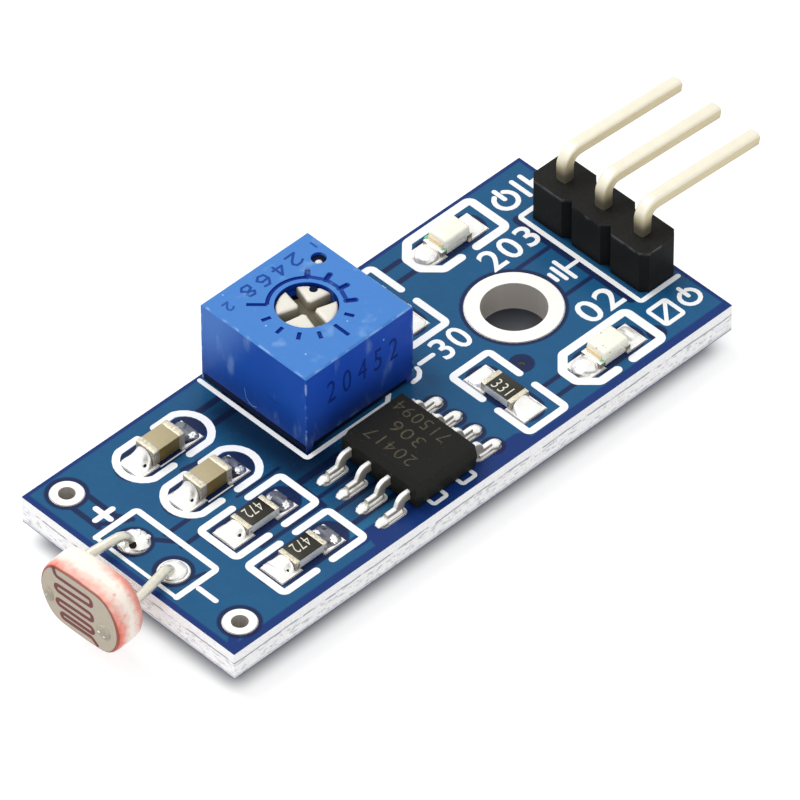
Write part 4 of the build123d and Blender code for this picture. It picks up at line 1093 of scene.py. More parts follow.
@dataclass
class Legend:
    """The white print on the mask, as ribbons of ink.

    Args:
        height: the ink's thickness.
        stroke: width of the outlines.
        column_x: middle of the four outlines at the sensor end.
        column_ys: their middles across the board, far one first.
        pair_x: middle of the two outlines beyond the trimmer.
        pair_ys: their middles across the board.
        length: length of an outline.
        width: its width.
        gap: the gap in the middle of its long sides.
        drawn: how many lines have been drawn.
        clay: the print in the making.
    """

    height: float = 0.02
    stroke: float = 0.38
    column_x: float = 6.82
    column_ys: tuple[float, ...] = COLUMN_YS
    pair_x: float = 20.58
    pair_ys: tuple[float, ...] = (3.21, 11.0)
    length: float = 5.45
    width: float = 2.78
    gap: float = 0.66
    drawn: int = 0
    clay: Clay = field(default_factory=Clay)

    def build(self) -> None:
        """Draws every line and puts the whole print in the CAD print's place."""
        self._column()
        self._sensor()
        self._indicators()
        self._trimmer_and_chip()
        self._header()
        self._marks()
        self.clay.publish("legend", "white_ink", ["legend_print"])

    def _line(self, points: Sequence[Flat], width: float, fillet: float = 0.16, closed: bool = False) -> None:
        """Draws a line through points of the board, a hair lower or higher than its neighbours.

        Args:
            points: its turning points.
            width: its width.
            fillet: the radius of its corners, which grows with the width.
            closed: whether it runs back to its first point.
        """
        self.drawn += 1
        levels, step = 9, 0.0006
        lift = self.height / 2 - self.drawn % levels * step
        placed = [on_board(x, y, BOARD_TOP + lift) for x, y in points]
        sizes = {"Width": width, "Height": self.height, "Fillet": max(fillet, 0.56 * width)}
        self.clay.run(Paths.ribbon(), placed, Stock.INK, closed=closed, **sizes)

    def _bracket(self, centre: Flat, across: bool = False) -> None:
        """Draws the two halves of a rectangular outline, with square corners."""
        end = (self.length - self.stroke) / 2
        half = (self.width - self.stroke) / 2
        for side in (-1, 1):
            gap = side * (self.gap + self.stroke) / 2
            corners = [(gap, half), (side * end, half), (side * end, -half), (gap, -half)]
            if across:
                corners = [(-v, u) for u, v in corners]
            self._line([(centre[0] + u, centre[1] + v) for u, v in corners], self.stroke)

    def _column(self) -> None:
        """Draws the column's outlines: two with bowed ends, two rectangular."""
        end = (self.length - self.stroke) / 2
        half = (self.width - self.stroke) / 2
        bow = 0.8
        radius = (half**2 + bow**2) / (2 * bow)
        sweep = math.degrees(math.asin(half / radius))
        for y in self.column_ys[:2]:
            for side, faces in ((-1, 180), (1, 0)):
                gap = self.column_x + side * (self.gap + self.stroke) / 2
                middle = (self.column_x + side * (end - radius), y)
                bend = arc(middle, radius, faces + side * sweep, faces - side * sweep)
                self._line([(gap, y + half), *bend, (gap, y - half)], self.stroke, 0.3)
        for y in self.column_ys[2:]:
            self._bracket((self.column_x - 0.02, y))

    def _sensor(self) -> None:
        """Draws the cell's outline and the signs beside it."""
        self._line([(0.62, 9.7), (3.14, 9.7), (3.14, 4.39), (0.62, 4.39)], 0.32, 0.1)
        self._line([(0.6, 4.39), (0.6, 9.7)], 0.2)
        self._line([(1.88, 10.09), (1.88, 11.06)], 0.3)
        self._line([(1.34, 10.52), (2.4, 10.52)], 0.3)
        self._line([(1.72, 3.0), (1.72, 4.1)], 0.27)

    def _indicators(self) -> None:
        """Draws the outlines of the two indicators and of the two resistors beside the trimmer."""
        end, half, cut, gap = 2.45, 1.24, 0.8, 0.52
        for x, y, gap_x in ((25.83, 12.33, 25.8), (25.73, 1.96, 25.7)):
            left = [(x - end + cut, y + half), (x - end, y + half - cut), (x - end, cut + y - half)]
            points = [(gap_x - gap, y - half), (x - end + cut, y - half), *reversed(left)]
            points += [(x + end, y + half), (x + end, y - half), (gap_x + gap, y - half)]
            self._line(points, 0.46)
        for y in self.pair_ys:
            self._bracket((self.pair_x, y), across=True)

    def _trimmer_and_chip(self) -> None:
        """Draws the trimmer's corner, the chip's notches and the small lines beside them."""
        self._line([(10.97, 13.75), (10.97, 6.62), (16.1, 6.62), (16.55, 7.0)], 0.24, 0.1)
        for x in (13.45, 15.3):
            self._line([(x - 0.42, 0.78), (x - 0.42, 0.44), (x + 0.42, 0.44), (x + 0.42, 0.78)], 0.2, 0.08)
        for y in (5.8, 4.5, 3.2, 1.8):
            self._line([(17.1, y - 0.14), (17.1, y + 0.14)], 0.12)
        self._line([(17.9, 6.75), (18.3, 6.78), (18.6, 7.05), (18.66, 7.3)], 0.24, 0.3)
        self._line([(18.95, 7.4), (19.8, 7.4)], 0.24)

    def _header(self) -> None:
        """Draws the header's outline and the earth sign beside it."""
        self._line([(31.6, 11.1), (29.15, 11.1), (29.15, 3.12), (31.6, 3.12)], 0.26, 0.12)
        earth_y = 7.12
        self._line([(28.15, earth_y), (28.95, earth_y)], 0.22)
        for x, half in ((28.15, 0.7), (27.78, 0.48), (27.4, 0.26)):
            self._line([(x, earth_y - half), (x, earth_y + half)], 0.22)

    def _marks(self) -> None:
        """Draws the plain numbers, the switch signs and the thin lines in the far outlines."""
        for text, centre, width, height in (
            ("30", (20.97, 7.38), 1.9, 1.45),
            ("203", (27.3, 9.95), 3.2, 1.45),
            ("02", (27.6, 4.36), 2.3, 1.5),
        ):
            mesh = lettering(text, width, height, self.height / 2, weight=0.012)
            self.clay.absorb(mesh, Stock.INK, seat(*centre, BOARD_TOP + self.height / 2))
        self._line([*arc((29.5, 12.35), 0.58, 120, 420, 14)], 0.25, 0.02)
        self._line([(29.5, 12.45), (29.5, 13.15)], 0.25)
        self._line([(30.55, 11.8), (30.55, 13.05)], 0.25)
        self._line([(31.1, 11.8), (31.1, 13.05)], 0.25)
        self._line([(31.1, 12.4), (31.6, 12.4)], 0.25)
        self._line([(28.9, 1.2), (30.05, 1.2), (30.05, 2.45), (28.9, 2.45)], 0.22, 0.05, True)
        self._line([(29.1, 1.4), (29.85, 2.25)], 0.2)
        self._line([*arc((31.0, 1.75), 0.5, 115, 425, 14)], 0.22, 0.02)
        self._line([(31.0, 1.85), (31.0, 2.5)], 0.22)
        for y in self.column_ys[:2]:
            self._line([(5.85, y - 0.84), (7.35, y - 0.84)], 0.07)


DIGITS = {
    "1": ((0, 1), (0, -1)),
    "2": ((-1, 0.7), (-0.4, 1), (0.6, 1), (1, 0.5), (0.6, 0), (-1, -1), (1, -1)),
    "4": ((1, -0.4), (-1, -0.4), (0.4, 1), (0.4, -1)),
    "6": ((0.8, 0.9), (-0.2, 1), (-1, 0.1), (-0.8, -0.8), (0.2, -1), (1, -0.5), (0.5, 0.1), (-1, 0)),
    "8": (
        (0.2, 0.1), (-0.8, 0.5), (-0.3, 1), (0.6, 0.9), (0.9, 0.4), (-0.8, -0.2), (-0.8, -0.9), (0.4, -1),
        (1, -0.5), (0.2, 0.1),
    ),
}


def digit_strokes(text: str, start: Flat, size: Flat, width: float, pitch: float = 0.0) -> list[Line]:
    """Plain digits as straight strokes, read from the far side.

    Args:
        text: the digits.
        start: the middle of the first one.
        size: width and height of a digit.
        width: the strokes' width.
        pitch: distance from one digit to the next.

    Returns:
        Start, end and width of each stroke.
    """
    made = []
    for index, digit in enumerate(text):
        x = start[0] - pitch * index
        corners = [(x - u * size[0] / 2, start[1] - v * size[1] / 2) for u, v in DIGITS[digit]]
        made += [(a, b, width) for a, b in zip(corners, corners[1:])]
    return made


def dial_point(radius: float, angle: float) -> Flat:
    """A place on the board at a radius and an angle in degrees about the dial's centre."""
    way = math.radians(angle)
    return (TRIMMER_SPOT[0] + radius * math.cos(way), TRIMMER_SPOT[1] + radius * math.sin(way))


def dial_engraving() -> tuple[Line, ...]:
    """The shallow strokes of the trimmer's top: its digits and the dial's widest ticks and chords."""
    digits = [
        *digit_strokes("2468", (16.3, 12.9), (0.56, 0.7), 0.13, 0.98),
        *digit_strokes("2", (12.0, 12.8), (0.32, 0.5), 0.11),
        *digit_strokes("1", (17.6, 12.98), (0.3, 0.36), 0.11),
    ]
    ticks = (45, 18, -9, -36)
    chords = [(dial_point(1.87, a), dial_point(1.87, b), 0.22) for a, b in zip(ticks, ticks[1:])]
    spokes = [(dial_point(1.84, angle), dial_point(2.26, angle), 0.3) for angle in ticks]
    return (*digits, *chords, *spokes)


class Layout:
    """Where bare gaps, rings, bands, brighter lines and patches of painted shade lie in the board's mask."""

    GAPS = (
        ((1.15, 12.3), (1.15, 10.1), 0.3), ((2.2, 12.4), (2.2, 10.0), 0.3),
        ((1.2, 10.3), (2.4, 9.5), 0.28), ((2.2, 10.2), (2.6, 9.4), 0.28),
        ((3.0, 7.62), (4.4, 7.62), 0.26), ((3.0, 6.55), (4.4, 6.55), 0.26),
        ((2.3, 7.9), (3.1, 6.9), 0.3), ((1.3, 5.0), (2.6, 4.6), 0.2),
        ((9.3, 12.3), (11.2, 12.3), 0.36), ((9.3, 11.25), (11.2, 11.25), 0.36),
        ((6.4, 10.1), (7.5, 9.95), 0.26), ((7.0, 7.1), (9.6, 7.1), 0.2),
        ((9.2, 5.75), (12.2, 5.75), 0.42), ((9.6, 4.45), (12.2, 4.45), 0.24),
        ((9.3, 3.3), (12.2, 3.3), 0.24), ((8.6, 2.15), (12.2, 2.15), 0.3),
        ((9.4, 3.9), (9.5, 5.4), 0.3), ((5.6, 4.0), (9.2, 4.0), 0.24),
        ((21.9, 2.35), (23.1, 2.35), 0.26), ((21.9, 1.45), (23.1, 1.45), 0.26),
        ((21.9, 12.95), (23.1, 12.95), 0.3), ((21.9, 11.95), (23.1, 11.95), 0.3),
        ((26.6, 8.7), (29.0, 8.7), 0.25), ((26.8, 5.9), (29.0, 5.9), 0.25),
        ((29.0, 3.6), (29.0, 11.0), 0.6),
        *(((4.98, y), (8.2, y), 1.95) for y in COLUMN_YS),
        ((20.4, 1.9), (20.4, 4.6), 1.8), ((20.45, 9.7), (20.45, 12.3), 1.8),
        ((24.6, 12.3), (26.9, 12.3), 1.85), ((24.6, 1.9), (26.9, 1.9), 1.85),
    )
    RINGS = (
        ((1.6, 12.7), 1.05), ((1.6, 1.3), 1.05), ((1.65, 8.31), 0.98), ((1.65, 5.69), 1.0),
        ((24.7, 7.0), 2.56), ((22.33, 4.13), 0.62), ((28.21, 1.17), 0.5),
        *(((17.6, y), 0.6) for y in CHIP_LEAD_YS),
    )
    # Painted shade under and beside the trimmer, chip and header.
    SHADES = (
        ((11.3, 7.0), (17.95, 13.8), 0.3, 0.85), ((12.3, 0.9), (16.0, 5.5), 0.3, 0.85),
        ((29.6, 3.5), (31.8, 10.9), 0.3, 0.85), ((10.2, 1.6), (13.4, 6.4), 1.5, 0.75),
        ((9.3, 5.6), (12.0, 12.4), 1.1, 0.85), ((18.2, 5.6), (19.0, 13.0), 0.7, 0.3),
        ((10.6, 6.0), (12.2, 8.4), 0.9, 0.6),
    )
    BANDS = (
        ((0.0, 0.0), (32.0, 0.0), 0.9), ((0.0, 14.0), (32.0, 14.0), 0.4),
        ((0.0, 0.0), (0.0, 14.0), 0.6), ((32.0, 0.0), (32.0, 14.0), 0.4),
        ((9.9, 0.5), (18.7, 0.5), 1.2), ((8.6, 1.2), (12.0, 1.1), 0.7), ((0.2, 0.4), (0.9, 0.9), 0.5),
    )
    BRIGHT = (
        ((7.05, 10.1), (7.1, 10.1), 0.26), ((7.05, 7.1), (7.1, 7.1), 0.26),
        ((8.6, 1.7), (12.0, 1.75), 0.4),
    )


def cell_axes() -> Matrix:
    """The cell face's axes: u to the near side, v up and n outwards, about the face's centre."""
    down, yaw = math.radians(CELL_DOWN), math.radians(CELL_YAW)
    outward = Vector((-math.cos(down) * math.cos(yaw), -math.cos(down) * math.sin(yaw), -math.sin(down)))
    along = Vector((math.sin(yaw), -math.cos(yaw), 0.0))
    turn = Matrix((along, outward.cross(along), outward)).transposed().to_4x4()
    return Matrix.Translation(CELL_CENTRE) @ turn


class Stock:
    """The finishes, by what they are made of, and dark fills of painted shade."""

    # Painted shade: the darker upright-side colours below stand for shade on steep faces, and for dark
    # reflections on solder and metal.
    TIN = SideShaded(
        "tin", (254, 253, 249), 0.34, 0.35, 2500, 0.05, 0.4, side_shade=(176, 170, 158), low=0.05, high=0.5
    )
    BARREL = SideShaded(
        "barrel", (250, 249, 243), 0.42, 0.3, 1800, 0.05, 0.5, 0.00002, side_shade=(196, 190, 182), stray=0.1
    )
    SOLDER = SideShaded(
        "solder", (254, 253, 249), 0.28, 0.5, 1500, 0.06, 0.6, 0.00003, side_shade=(146, 140, 130), low=0.1,
        high=0.62,
    )
    # Painted shade: dull solder darkened where it lies in shade.
    SHADED_SOLDER = SideShaded(
        "shaded_solder", (128, 130, 138), 0.3, 0.6, 2600, 0.3, 0.7, 0.00004, side_shade=(26, 28, 40), low=0.6,
        high=1.0, stray=1.5,
    )
    TERMINAL = SideShaded(
        "terminal", (214, 206, 184), 0.4, 0.5, 9000, 0.4, 0.8, 0.00003, 0.3, (250, 248, 240),
        side_shade=(150, 144, 130), low=0.2, high=0.7,
    )
    CERAMIC_TAN = SideShaded(
        "ceramic_tan", (178, 165, 130), 0.45, scale=5000, variation=0.06, specular=0.3, side_shade=(104, 88, 44),
        low=0.2, high=0.6,
    )
    ALUMINA = Finish("alumina", (190, 194, 198), variation=0.1)
    BLACK_GLASS = Finish("black_glass", (40, 38, 28), 0.32, variation=0.2, specular=0.3)
    CODE = Finish("code", (226, 222, 204), variation=0.1)
    LED_BASE = Finish("led_base", (246, 245, 232), variation=0.08, cloudy=0.4)
    LED_LENS = Finish(
        "led_lens", (252, 250, 232), 0.25, scale=2500, variation=0.06, specks=0.08,
        speck_color=(196, 196, 150), cloudy=0.2,
    )
    LED_GREEN = Finish("led_green", (112, 200, 150), 0.4, scale=2500, variation=0.1)
    LED_CREAM = Finish("led_cream", (236, 214, 176), 0.4, scale=2500, variation=0.1)
    EPOXY = Finish(
        "epoxy", (28, 28, 25), 0.55, scale=7000, variation=0.25, bump=0.5, specks=0.03,
        speck_color=(70, 68, 62), specular=0.1,
    )
    CHIP_CODE = Finish("chip_code", (76, 71, 58), 0.55, scale=9000, variation=0.8, specular=0.1)
    BLUE = Moulding(
        "blue_plastic", (75, 130, 202), 0.4, variation=0.03, bump=0.1, specular=0.08,
        engraving=dial_engraving(),
    )
    DEEP_BLUE = Finish("deep_blue", (14, 48, 130), variation=0.05, specular=0.2)
    # Painted shade: a dark fill for gaps, pits and the flange and notch of the rotor.
    SHADE_FILL = Finish("shade_fill", (6, 14, 44), 0.6, variation=0.05, specular=0.1)
    # Painted shade: dark domes in pinholes and hollows of solder.
    PIT_SHADE = Finish("pit", (30, 24, 22), 0.6, variation=0.2, specular=0.1)
    SHADE_BLUE = Finish("shade_blue", (13, 44, 122), variation=0.05, specular=0.1)
    PALE_BLUE = Finish("pale_blue", (120, 165, 225), variation=0.2)
    CREAM = SideShaded(
        "cream_plastic", (228, 224, 212), 0.4, variation=0.04, side_shade=(142, 136, 118), low=0.05, high=0.75,
        stray=0.05,
    )
    BLACK = RimLitBlock(
        "black_plastic", (33, 33, 32), scale=5000, variation=0.3, specular=0.08, side_shade=(20, 21, 21),
        low=0.1, high=0.6,
    )
    GOLD = PinPlate(
        "gold", (240, 234, 214), 0.42, 0.3, 1200, 0.03, 0.1, side_shade=(212, 199, 162), low=0.05, high=0.6,
        stray=0.1,
    )
    COAT = CellCoat(
        "cell_coat", (255, 244, 232), 0.4, scale=1500, variation=0.03, origin=tuple(cell_axes().translation),
        outward=tuple(cell_axes().col[2].xyz),
    )
    FACE = Finish("cell_face", (180, 170, 152), 0.4, 0.1, 2500, 0.07, specular=0.3)
    TRACK = Finish("cell_track", (112, 52, 54), variation=0.12, specular=0.25)
    SILVER = SideShaded(
        "silver", (196, 190, 172), 0.34, 0.15, 2500, 0.08, 0.4, 0.00002, side_shade=(150, 142, 124), low=-0.2
    )
    WIRE = Finish("wire", (228, 224, 208), 0.34, 0.6, 2500, 0.1, 0.5, 0.00002)
    # Painted shade: the floor of the slot between the rotor's lobes.
    SLOT_SHADE = Finish("shaded_slot_floor", (98, 91, 70), variation=0.05)
    INK = Finish("ink", (248, 249, 250), 0.6, variation=0.02)
    GLASS_FIBRE = SawnLaminate("glass_fibre", (254, 254, 255), 0.5, 0.0, 5000, 0.1, 1.0, 0.00005)
    MASK = CopperMask(
        "mask", (30, 86, 128), 0.26, scale=1500, variation=0.05, bump=0.12, specular=0.15, gaps=Layout.GAPS,
        rings=Layout.RINGS, bands=Layout.BANDS, bright=Layout.BRIGHT, shades=Layout.SHADES,
    )


NODE_FINISHES = (
    ("board_laminate", Stock.GLASS_FIBRE),
    ("solder_mask", Stock.MASK),
    ("legend", Stock.INK),
    ("mounting_hole", Stock.BARREL),
    ("corner_eyelet", Stock.BARREL),
    ("chip_body", Stock.EPOXY),
    ("trimmer_housing", Stock.BLUE),
    ("trimmer_rotor", Stock.CREAM),
    ("corner_plug", Stock.CREAM),
    ("trimmer_element", Stock.ALUMINA),
    ("trimmer_wiper", Stock.GOLD),
    ("header_housing", Stock.BLACK),
    ("header_pin", Stock.GOLD),
    ("cell_disc", Stock.ALUMINA),
    ("cell_coating", Stock.COAT),
    ("cell_electrodes", Stock.FACE),
    ("cell_track", Stock.TRACK),
    ("cell_lead", Stock.WIRE),
    ("_body", Stock.CERAMIC_TAN),
    ("_substrate", Stock.ALUMINA),
    ("_overcoat", Stock.BLACK_GLASS),
    ("_base", Stock.LED_BASE),
    ("_lens", Stock.LED_LENS),
    ("_ends", Stock.TERMINAL),
    ("_solder", Stock.SOLDER),
)


def plain_finish(node: str) -> Finish:
    """The finish of a CAD node: the first in the list whose words are in its name, or else tin."""
    return next((finish for words, finish in NODE_FINISHES if words in node), Stock.TIN)


# Small blocks on the board


class BlockKind(Enum):
    """The kinds of two terminal pieces."""

    CAPACITOR = "capacitor"
    RESISTOR = "resistor"


@dataclass
class Block:
    """A two terminal piece with its end caps, along its own X axis.

    Args:
        name: what the CAD nodes' names start with.
        kind: capacitor or resistor.
        spot: its middle on the board.
        turn: its turn about +Z, in degrees.
        code: digits on a resistor.
        seed: picks the lumps of its end caps.
        length: its length over the caps.
        width: its width.
    """

    name: str
    kind: BlockKind
    spot: Flat
    turn: float = 0.0
    code: str = ""
    seed: float = 0.0
    length: float = 2.0
    width: float = 1.25

    def build(self) -> None:
        """Makes the body, the caps and the digits in the CAD pieces' place."""
        clay = Clay()
        axes = seat(*self.spot, LAND_TOP, self.turn)
        if self.kind is BlockKind.CAPACITOR:
            slot, endings = "capacitor_ceramic", ("body", "ends")
            self._capacitor(clay, axes)
        else:
            slot, endings = "alumina", ("substrate", "ends", "overcoat")
            self._resistor(clay, axes)
        clay.publish(f"dressed_{self.name}", slot, [f"{self.name}_{ending}" for ending in endings])

    def _capacitor(self, clay: Clay, axes: Matrix) -> None:
        """Adds the tan body and its tall caps."""
        side, top = self.width / 2, 0.87
        clay.add(slab((-0.66, 0.66), side - 0.02, (0.03, top), 0.06), Stock.CERAMIC_TAN, axes)
        for way in (-1, 1):
            cap = slab((way * self.length / 2, way * 0.58), side, (0.01, top + 0.02), 0.09, 3)
            self._add_cap(clay, cap, 0.018, axes)

    def _resistor(self, clay: Clay, axes: Matrix) -> None:
        """Adds the white base, the dark coat, the low caps and the digits."""
        half, side, top = self.length / 2, self.width / 2, 0.46
        clay.add(slab((0.03 - half, half - 0.03), side - 0.03, (0.02, top)), Stock.ALUMINA, axes)
        clay.add(slab((-0.72, 0.72), side - 0.05, (top - 0.02, top + 0.035)), Stock.BLACK_GLASS, axes)
        for way in (-1, 1):
            cap = slab((way * half, way * 0.7), side - 0.03, (0.0, top + 0.02), 0.05, 3)
            self._add_cap(clay, cap, 0.01, axes)
        spot = axes @ Matrix.Translation((0.02, 0.14, top + 0.036)) @ Matrix.Rotation(math.pi, 4, "Z")
        clay.absorb(lettering(self.code, 0.98, 0.64, 0.004), Stock.CODE, spot)

    def _add_cap(self, clay: Clay, cap: Part, depth: float, axes: Matrix) -> None:
        """Makes a cap slightly uneven and adds it."""
        bmesh.ops.subdivide_edges(cap, edges=list(cap.edges), cuts=2, use_grid_fill=True)
        for vertex in cap.verts:
            vertex.co += noise.noise_vector(vertex.co * 4.5 + Vector((self.seed, 0, 0))) * depth
        clay.add(cap, Stock.TERMINAL, axes)


@dataclass
class Joint:
    """A solder joint: a concave slope from a terminal's end face down over the land.

    Args:
        start: where the end face stands on the board.
        turn: the direction in which the joint falls, in degrees.
        length: how far it reaches over the land.
        width: its width on the land.
        rise: how high it climbs the end face.
        belly: height of the pool on the land.
        pit: depth of a pinhole near the end face, with a dark dome of painted shade in it, 0 for none.
        seed: picks the lumps.
        bright: whether it is shiny, or dull and darkened as painted shade.
        neck: its width at the end face, as a share of its width on the land.
    """

    start: Flat
    turn: float
    length: float
    width: float
    rise: float
    belly: float = 0.12
    pit: float = 0.0
    seed: float = 0.0
    bright: bool = True
    neck: float = 0.84

    def shape(self, clay: Clay) -> None:
        """Adds the joint's surface to a mesh."""
        axes = seat(*self.start, LAND_TOP, self.turn)
        clay.add(sheet(self._spot, 34, 22), Stock.SOLDER if self.bright else Stock.SHADED_SOLDER, axes)
        if self.pit:
            hole = Vector(self._spot(0.24, 0.76)) + Vector((0.03, 0.0, 0.03))
            tilt = Matrix.Rotation(math.radians(32), 4, "Y")
            # Painted shade: a dark dome in the pinhole.
            pinhole = dome((0.14, 0.12, 0.03), 0.3, self.seed)
            clay.add(pinhole, Stock.PIT_SHADE, axes @ Matrix.Translation(hole) @ tilt)

    def _spot(self, along: float, across: float) -> Point:
        """A point of the joint's surface.

        Args:
            along: share of the length.
            across: share of the width.

        Returns:
            The point in the joint's own axes.
        """
        side = 2 * across - 1
        rounded = math.sqrt(max(0.0, 1 - max(0.0, (along - 0.72) / 0.28) ** 2 * 0.75))
        neck = self.neck + (1 - self.neck) * min(1.0, along / 0.45)
        slope = self.rise * max(0.0, 1 - along / 0.62) ** 1.9 * (1 - 0.3 * side**2)
        pool = self.belly * math.sqrt(max(0.0, 1 - along**6)) * min(1.0, 0.35 + along)
        lumps = 0.035 * noise.noise(Vector((along * 3.5 + self.seed, side * 1.7, self.seed * 1.3)))
        edge = 1 - abs(side) ** 4
        height = max(0.0, (slope + pool + lumps * (1 - along**3)) * edge**0.7)
        if self.pit:
            away = ((along * self.length - 0.24) / 0.14) ** 2 + ((side - 0.52) * self.width / 0.28) ** 2
            height -= self.pit * math.exp(-away)
        ragged = 0.04 * along * noise.noise(Vector((along * 4 + self.seed, side, 3.1)))
        bow = 0.04 * side**2 * (1 - along)
        return (along * self.length + bow, side * (self.width / 2 * neck * rounded + ragged), height)


@dataclass
class Indicator:
    """A small indicator: pale base, cloudy moulding, green marks and its two ends.

    Args:
        name: what the CAD nodes' names start with.
        spot: its middle on the board.
        marks: places of the green marks, from its middle.
        seed: picks the lumps.
    """

    name: str
    spot: Flat
    marks: tuple[Flat, ...]
    seed: float = 0.0

    def build(self) -> None:
        """Makes the piece in its CAD pieces' place."""
        clay = Clay()
        axes = seat(*self.spot)
        base_top = 0.3
        clay.add(slab((-1.0, 1.0), 0.625, (0.0, base_top)), Stock.LED_BASE, axes)
        clay.add(self._moulding(), Stock.LED_LENS, axes)
        for x in (-0.82, 0.82):
            clay.add(slab((x - 0.18, x + 0.18), 0.63, (0.0, base_top + 0.02)), Stock.SOLDER, axes)
        for x, y in self.marks:
            mark = dome((0.17, 0.13, 0.04), 0.5, self.seed + x)
            clay.add(mark, Stock.LED_GREEN, axes @ Matrix.Translation((x, y, base_top)))
        clay.add(rounded_box((-0.79, -0.45, 0.28), (-0.68, 0.5, 0.56)), Stock.LED_CREAM, axes)
        nodes = [f"{self.name}_{ending}" for ending in ("base", "lens", "ends")]
        clay.publish(f"dressed_{self.name}", "led_lens", nodes)

    def _moulding(self) -> Part:
        """The cloudy block, which narrows to its top."""
        part = rounded_box((-0.72, -0.63, 0.22), (0.94, 0.63, 0.8), 0.14, 3)
        for vertex in part.verts:
            if vertex.co.z > 0.5:
                vertex.co.x *= 0.96
                vertex.co.y *= 0.95
        return part


@dataclass
class Joints:
    """Every joint of the small blocks, as the picture has them.

    Args:
        column_x: where the column's sensor side end faces stand.
        column: place across the board, rise and pinhole of each of the column's joints.
        length: how far a joint reaches over its land.
        width: a joint's width.
    """

    column_x: float = 5.58
    column: tuple[Point, ...] = (
        (11.78, 0.72, 0.3), (8.66, 0.74, 0.3), (5.54, 0.42, 0.24), (2.42, 0.42, 0.26),
    )
    length: float = 0.98
    width: float = 1.42

    def build(self) -> None:
        """Makes the joints in the place of the CAD fillets."""
        self._column()
        clay = Clay()
        narrow = self.width - 0.06
        for x, y, turn, rise in (
            (20.37, 4.25, 90.0, 0.32), (20.37, 2.25, -90.0, 0.4), (20.45, 12.0, 90.0, 0.34),
            (20.45, 10.0, -90.0, 0.4),
        ):
            Joint((x, y), turn, self.length, narrow, rise, seed=y).shape(clay)
        x = 25.6
        for y in (12.32, 1.9):
            clay.add(dome((0.62, 0.6, 0.42), 0.12, y), Stock.SOLDER, seat(x - 1.42, y - 0.02))
            Joint((x - 0.98, y), 180.0, 0.7, 1.3, 0.3, 0.1, seed=y).shape(clay)
            Joint((x + 0.98, y), 0.0, self.length, narrow, 0.26, 0.1, seed=y + 2).shape(clay)
        clay.publish("indicator_joints", "solder", ["indicator_solder"])

    def _column(self) -> None:
        """Makes a shiny joint to the left of each block, a dull one darkened as painted shade to its right,
        and bright flecks on that, one a painted highlight.
        """
        clay = Clay()
        x = self.column_x
        for index, (y, rise, pit) in enumerate(self.column):
            Joint((x, y), 180.0, self.length, self.width, rise, 0.13, pit, index * 3.7).shape(clay)
            seed = index * 5.1 + 1.0
            # Painted shade: the dull joint right of the block.
            Joint((x + 2.0, y), 0.0, 1.02, self.width, rise / 2, 0.08, seed=seed, bright=False).shape(clay)
            # Bright flecks on the dull joint; the near one is a painted highlight.
            for side, reach in ((-0.42, 0.5), (0.34, 0.16)):
                fleck = dome((0.26, 0.16, 0.07), 0.6, index * 2.3 + side)
                spot = seat(x + 2.1 + reach, y + side, LAND_TOP + 0.05, 20.0 * index)
                clay.add(fleck, Stock.SOLDER, spot)
        clay.publish("column_joints", "solder", ["passive_solder"])


# Comparator chip


@dataclass
class Chip:
    """The chip's leads, toes of solder and faint digits. The body is the CAD node.

    Args:
        middle: the chip's middle on the board.
        lead_ys: where its leads leave it, from the near edge.
        edge: distance from the middle to where the leads leave the body.
        pitch: distance from one lead to the next.
        width: a lead's width.
        thickness: its thickness.
        shoulder: height above the board at which a lead leaves the body.
        toe: distance from the middle to the middle of a toe's ball of solder.
    """

    middle: Flat = (14.1, 3.14)
    lead_ys: tuple[float, ...] = CHIP_LEAD_YS
    edge: float = 1.9
    pitch: float = CHIP_PITCH
    width: float = 0.56
    thickness: float = 0.24
    shoulder: float = 0.72
    toe: float = 3.55

    def build(self) -> None:
        """Makes both rows of leads, the joints at their toes and the digits."""
        for side, node in ((-1, "chip_leads_sensor_side"), (1, "chip_leads_header_side")):
            self._leads(side, node)
        clay = Clay()
        for side, width, ball in ((-1, 0.5, 0.28), (1, 0.44, 0.31)):
            for index, y in enumerate(self.lead_ys):
                start = (self.middle[0] + side * (self.edge + 0.56), y)
                turn = 90.0 - 90.0 * side
                Joint(start, turn, 1.5, width, 0.14, 0.2, seed=index * 1.9 + side, neck=0.95).shape(clay)
                spot = seat(self.middle[0] + side * self.toe, y)
                clay.add(dome((1.15 * ball, ball, 0.27), 0.06, index + side), Stock.SOLDER, spot)
        clay.publish("chip_joints", "solder", ["chip_solder"])
        self._code()

    def _leads(self, side: int, node: str) -> None:
        """Makes one row of leads in its CAD node's place."""
        high, low = BOARD_TOP + self.shoulder, LAND_TOP + self.thickness / 2
        path = [
            on_board(self.middle[0] + side * (self.edge + reach), self.lead_ys[0], height)
            for reach, height in ((-0.15, high), (0.5, high), (0.74, low), (1.46, low))
        ]
        sizes = {
            "Width": self.width, "Thickness": self.thickness, "Edge": 0.07, "Fillet": 0.24,
            "Pitch": self.pitch, "Count": len(self.lead_ys),
        }
        clay = Clay()
        clay.run(Paths.bent_strips(), path, Stock.TIN, smooth=True, **sizes)
        clay.publish(f"bent_{node}", "tin", [node])

    def _code(self) -> None:
        """Makes three rows of plain digits on the chip's top."""
        clay = Clay()
        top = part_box("chip_body")[1][2] / MM + 0.001
        quarter = Matrix.Rotation(math.radians(90), 4, "Z")
        rows = (("20417", -0.95, 0.25, 3.0), ("306", 0.15, 0.3, 1.9), ("715094", 1.2, 0.4, 3.3))
        for text, x, y, width in rows:
            place = Matrix.Translation(on_board(self.middle[0] + x, self.middle[1] + y, top))
            clay.absorb(lettering(text, width, 0.7, 0.002), Stock.CHIP_CODE, place @ quarter)
        clay.publish("chip_digits", "black_epoxy")


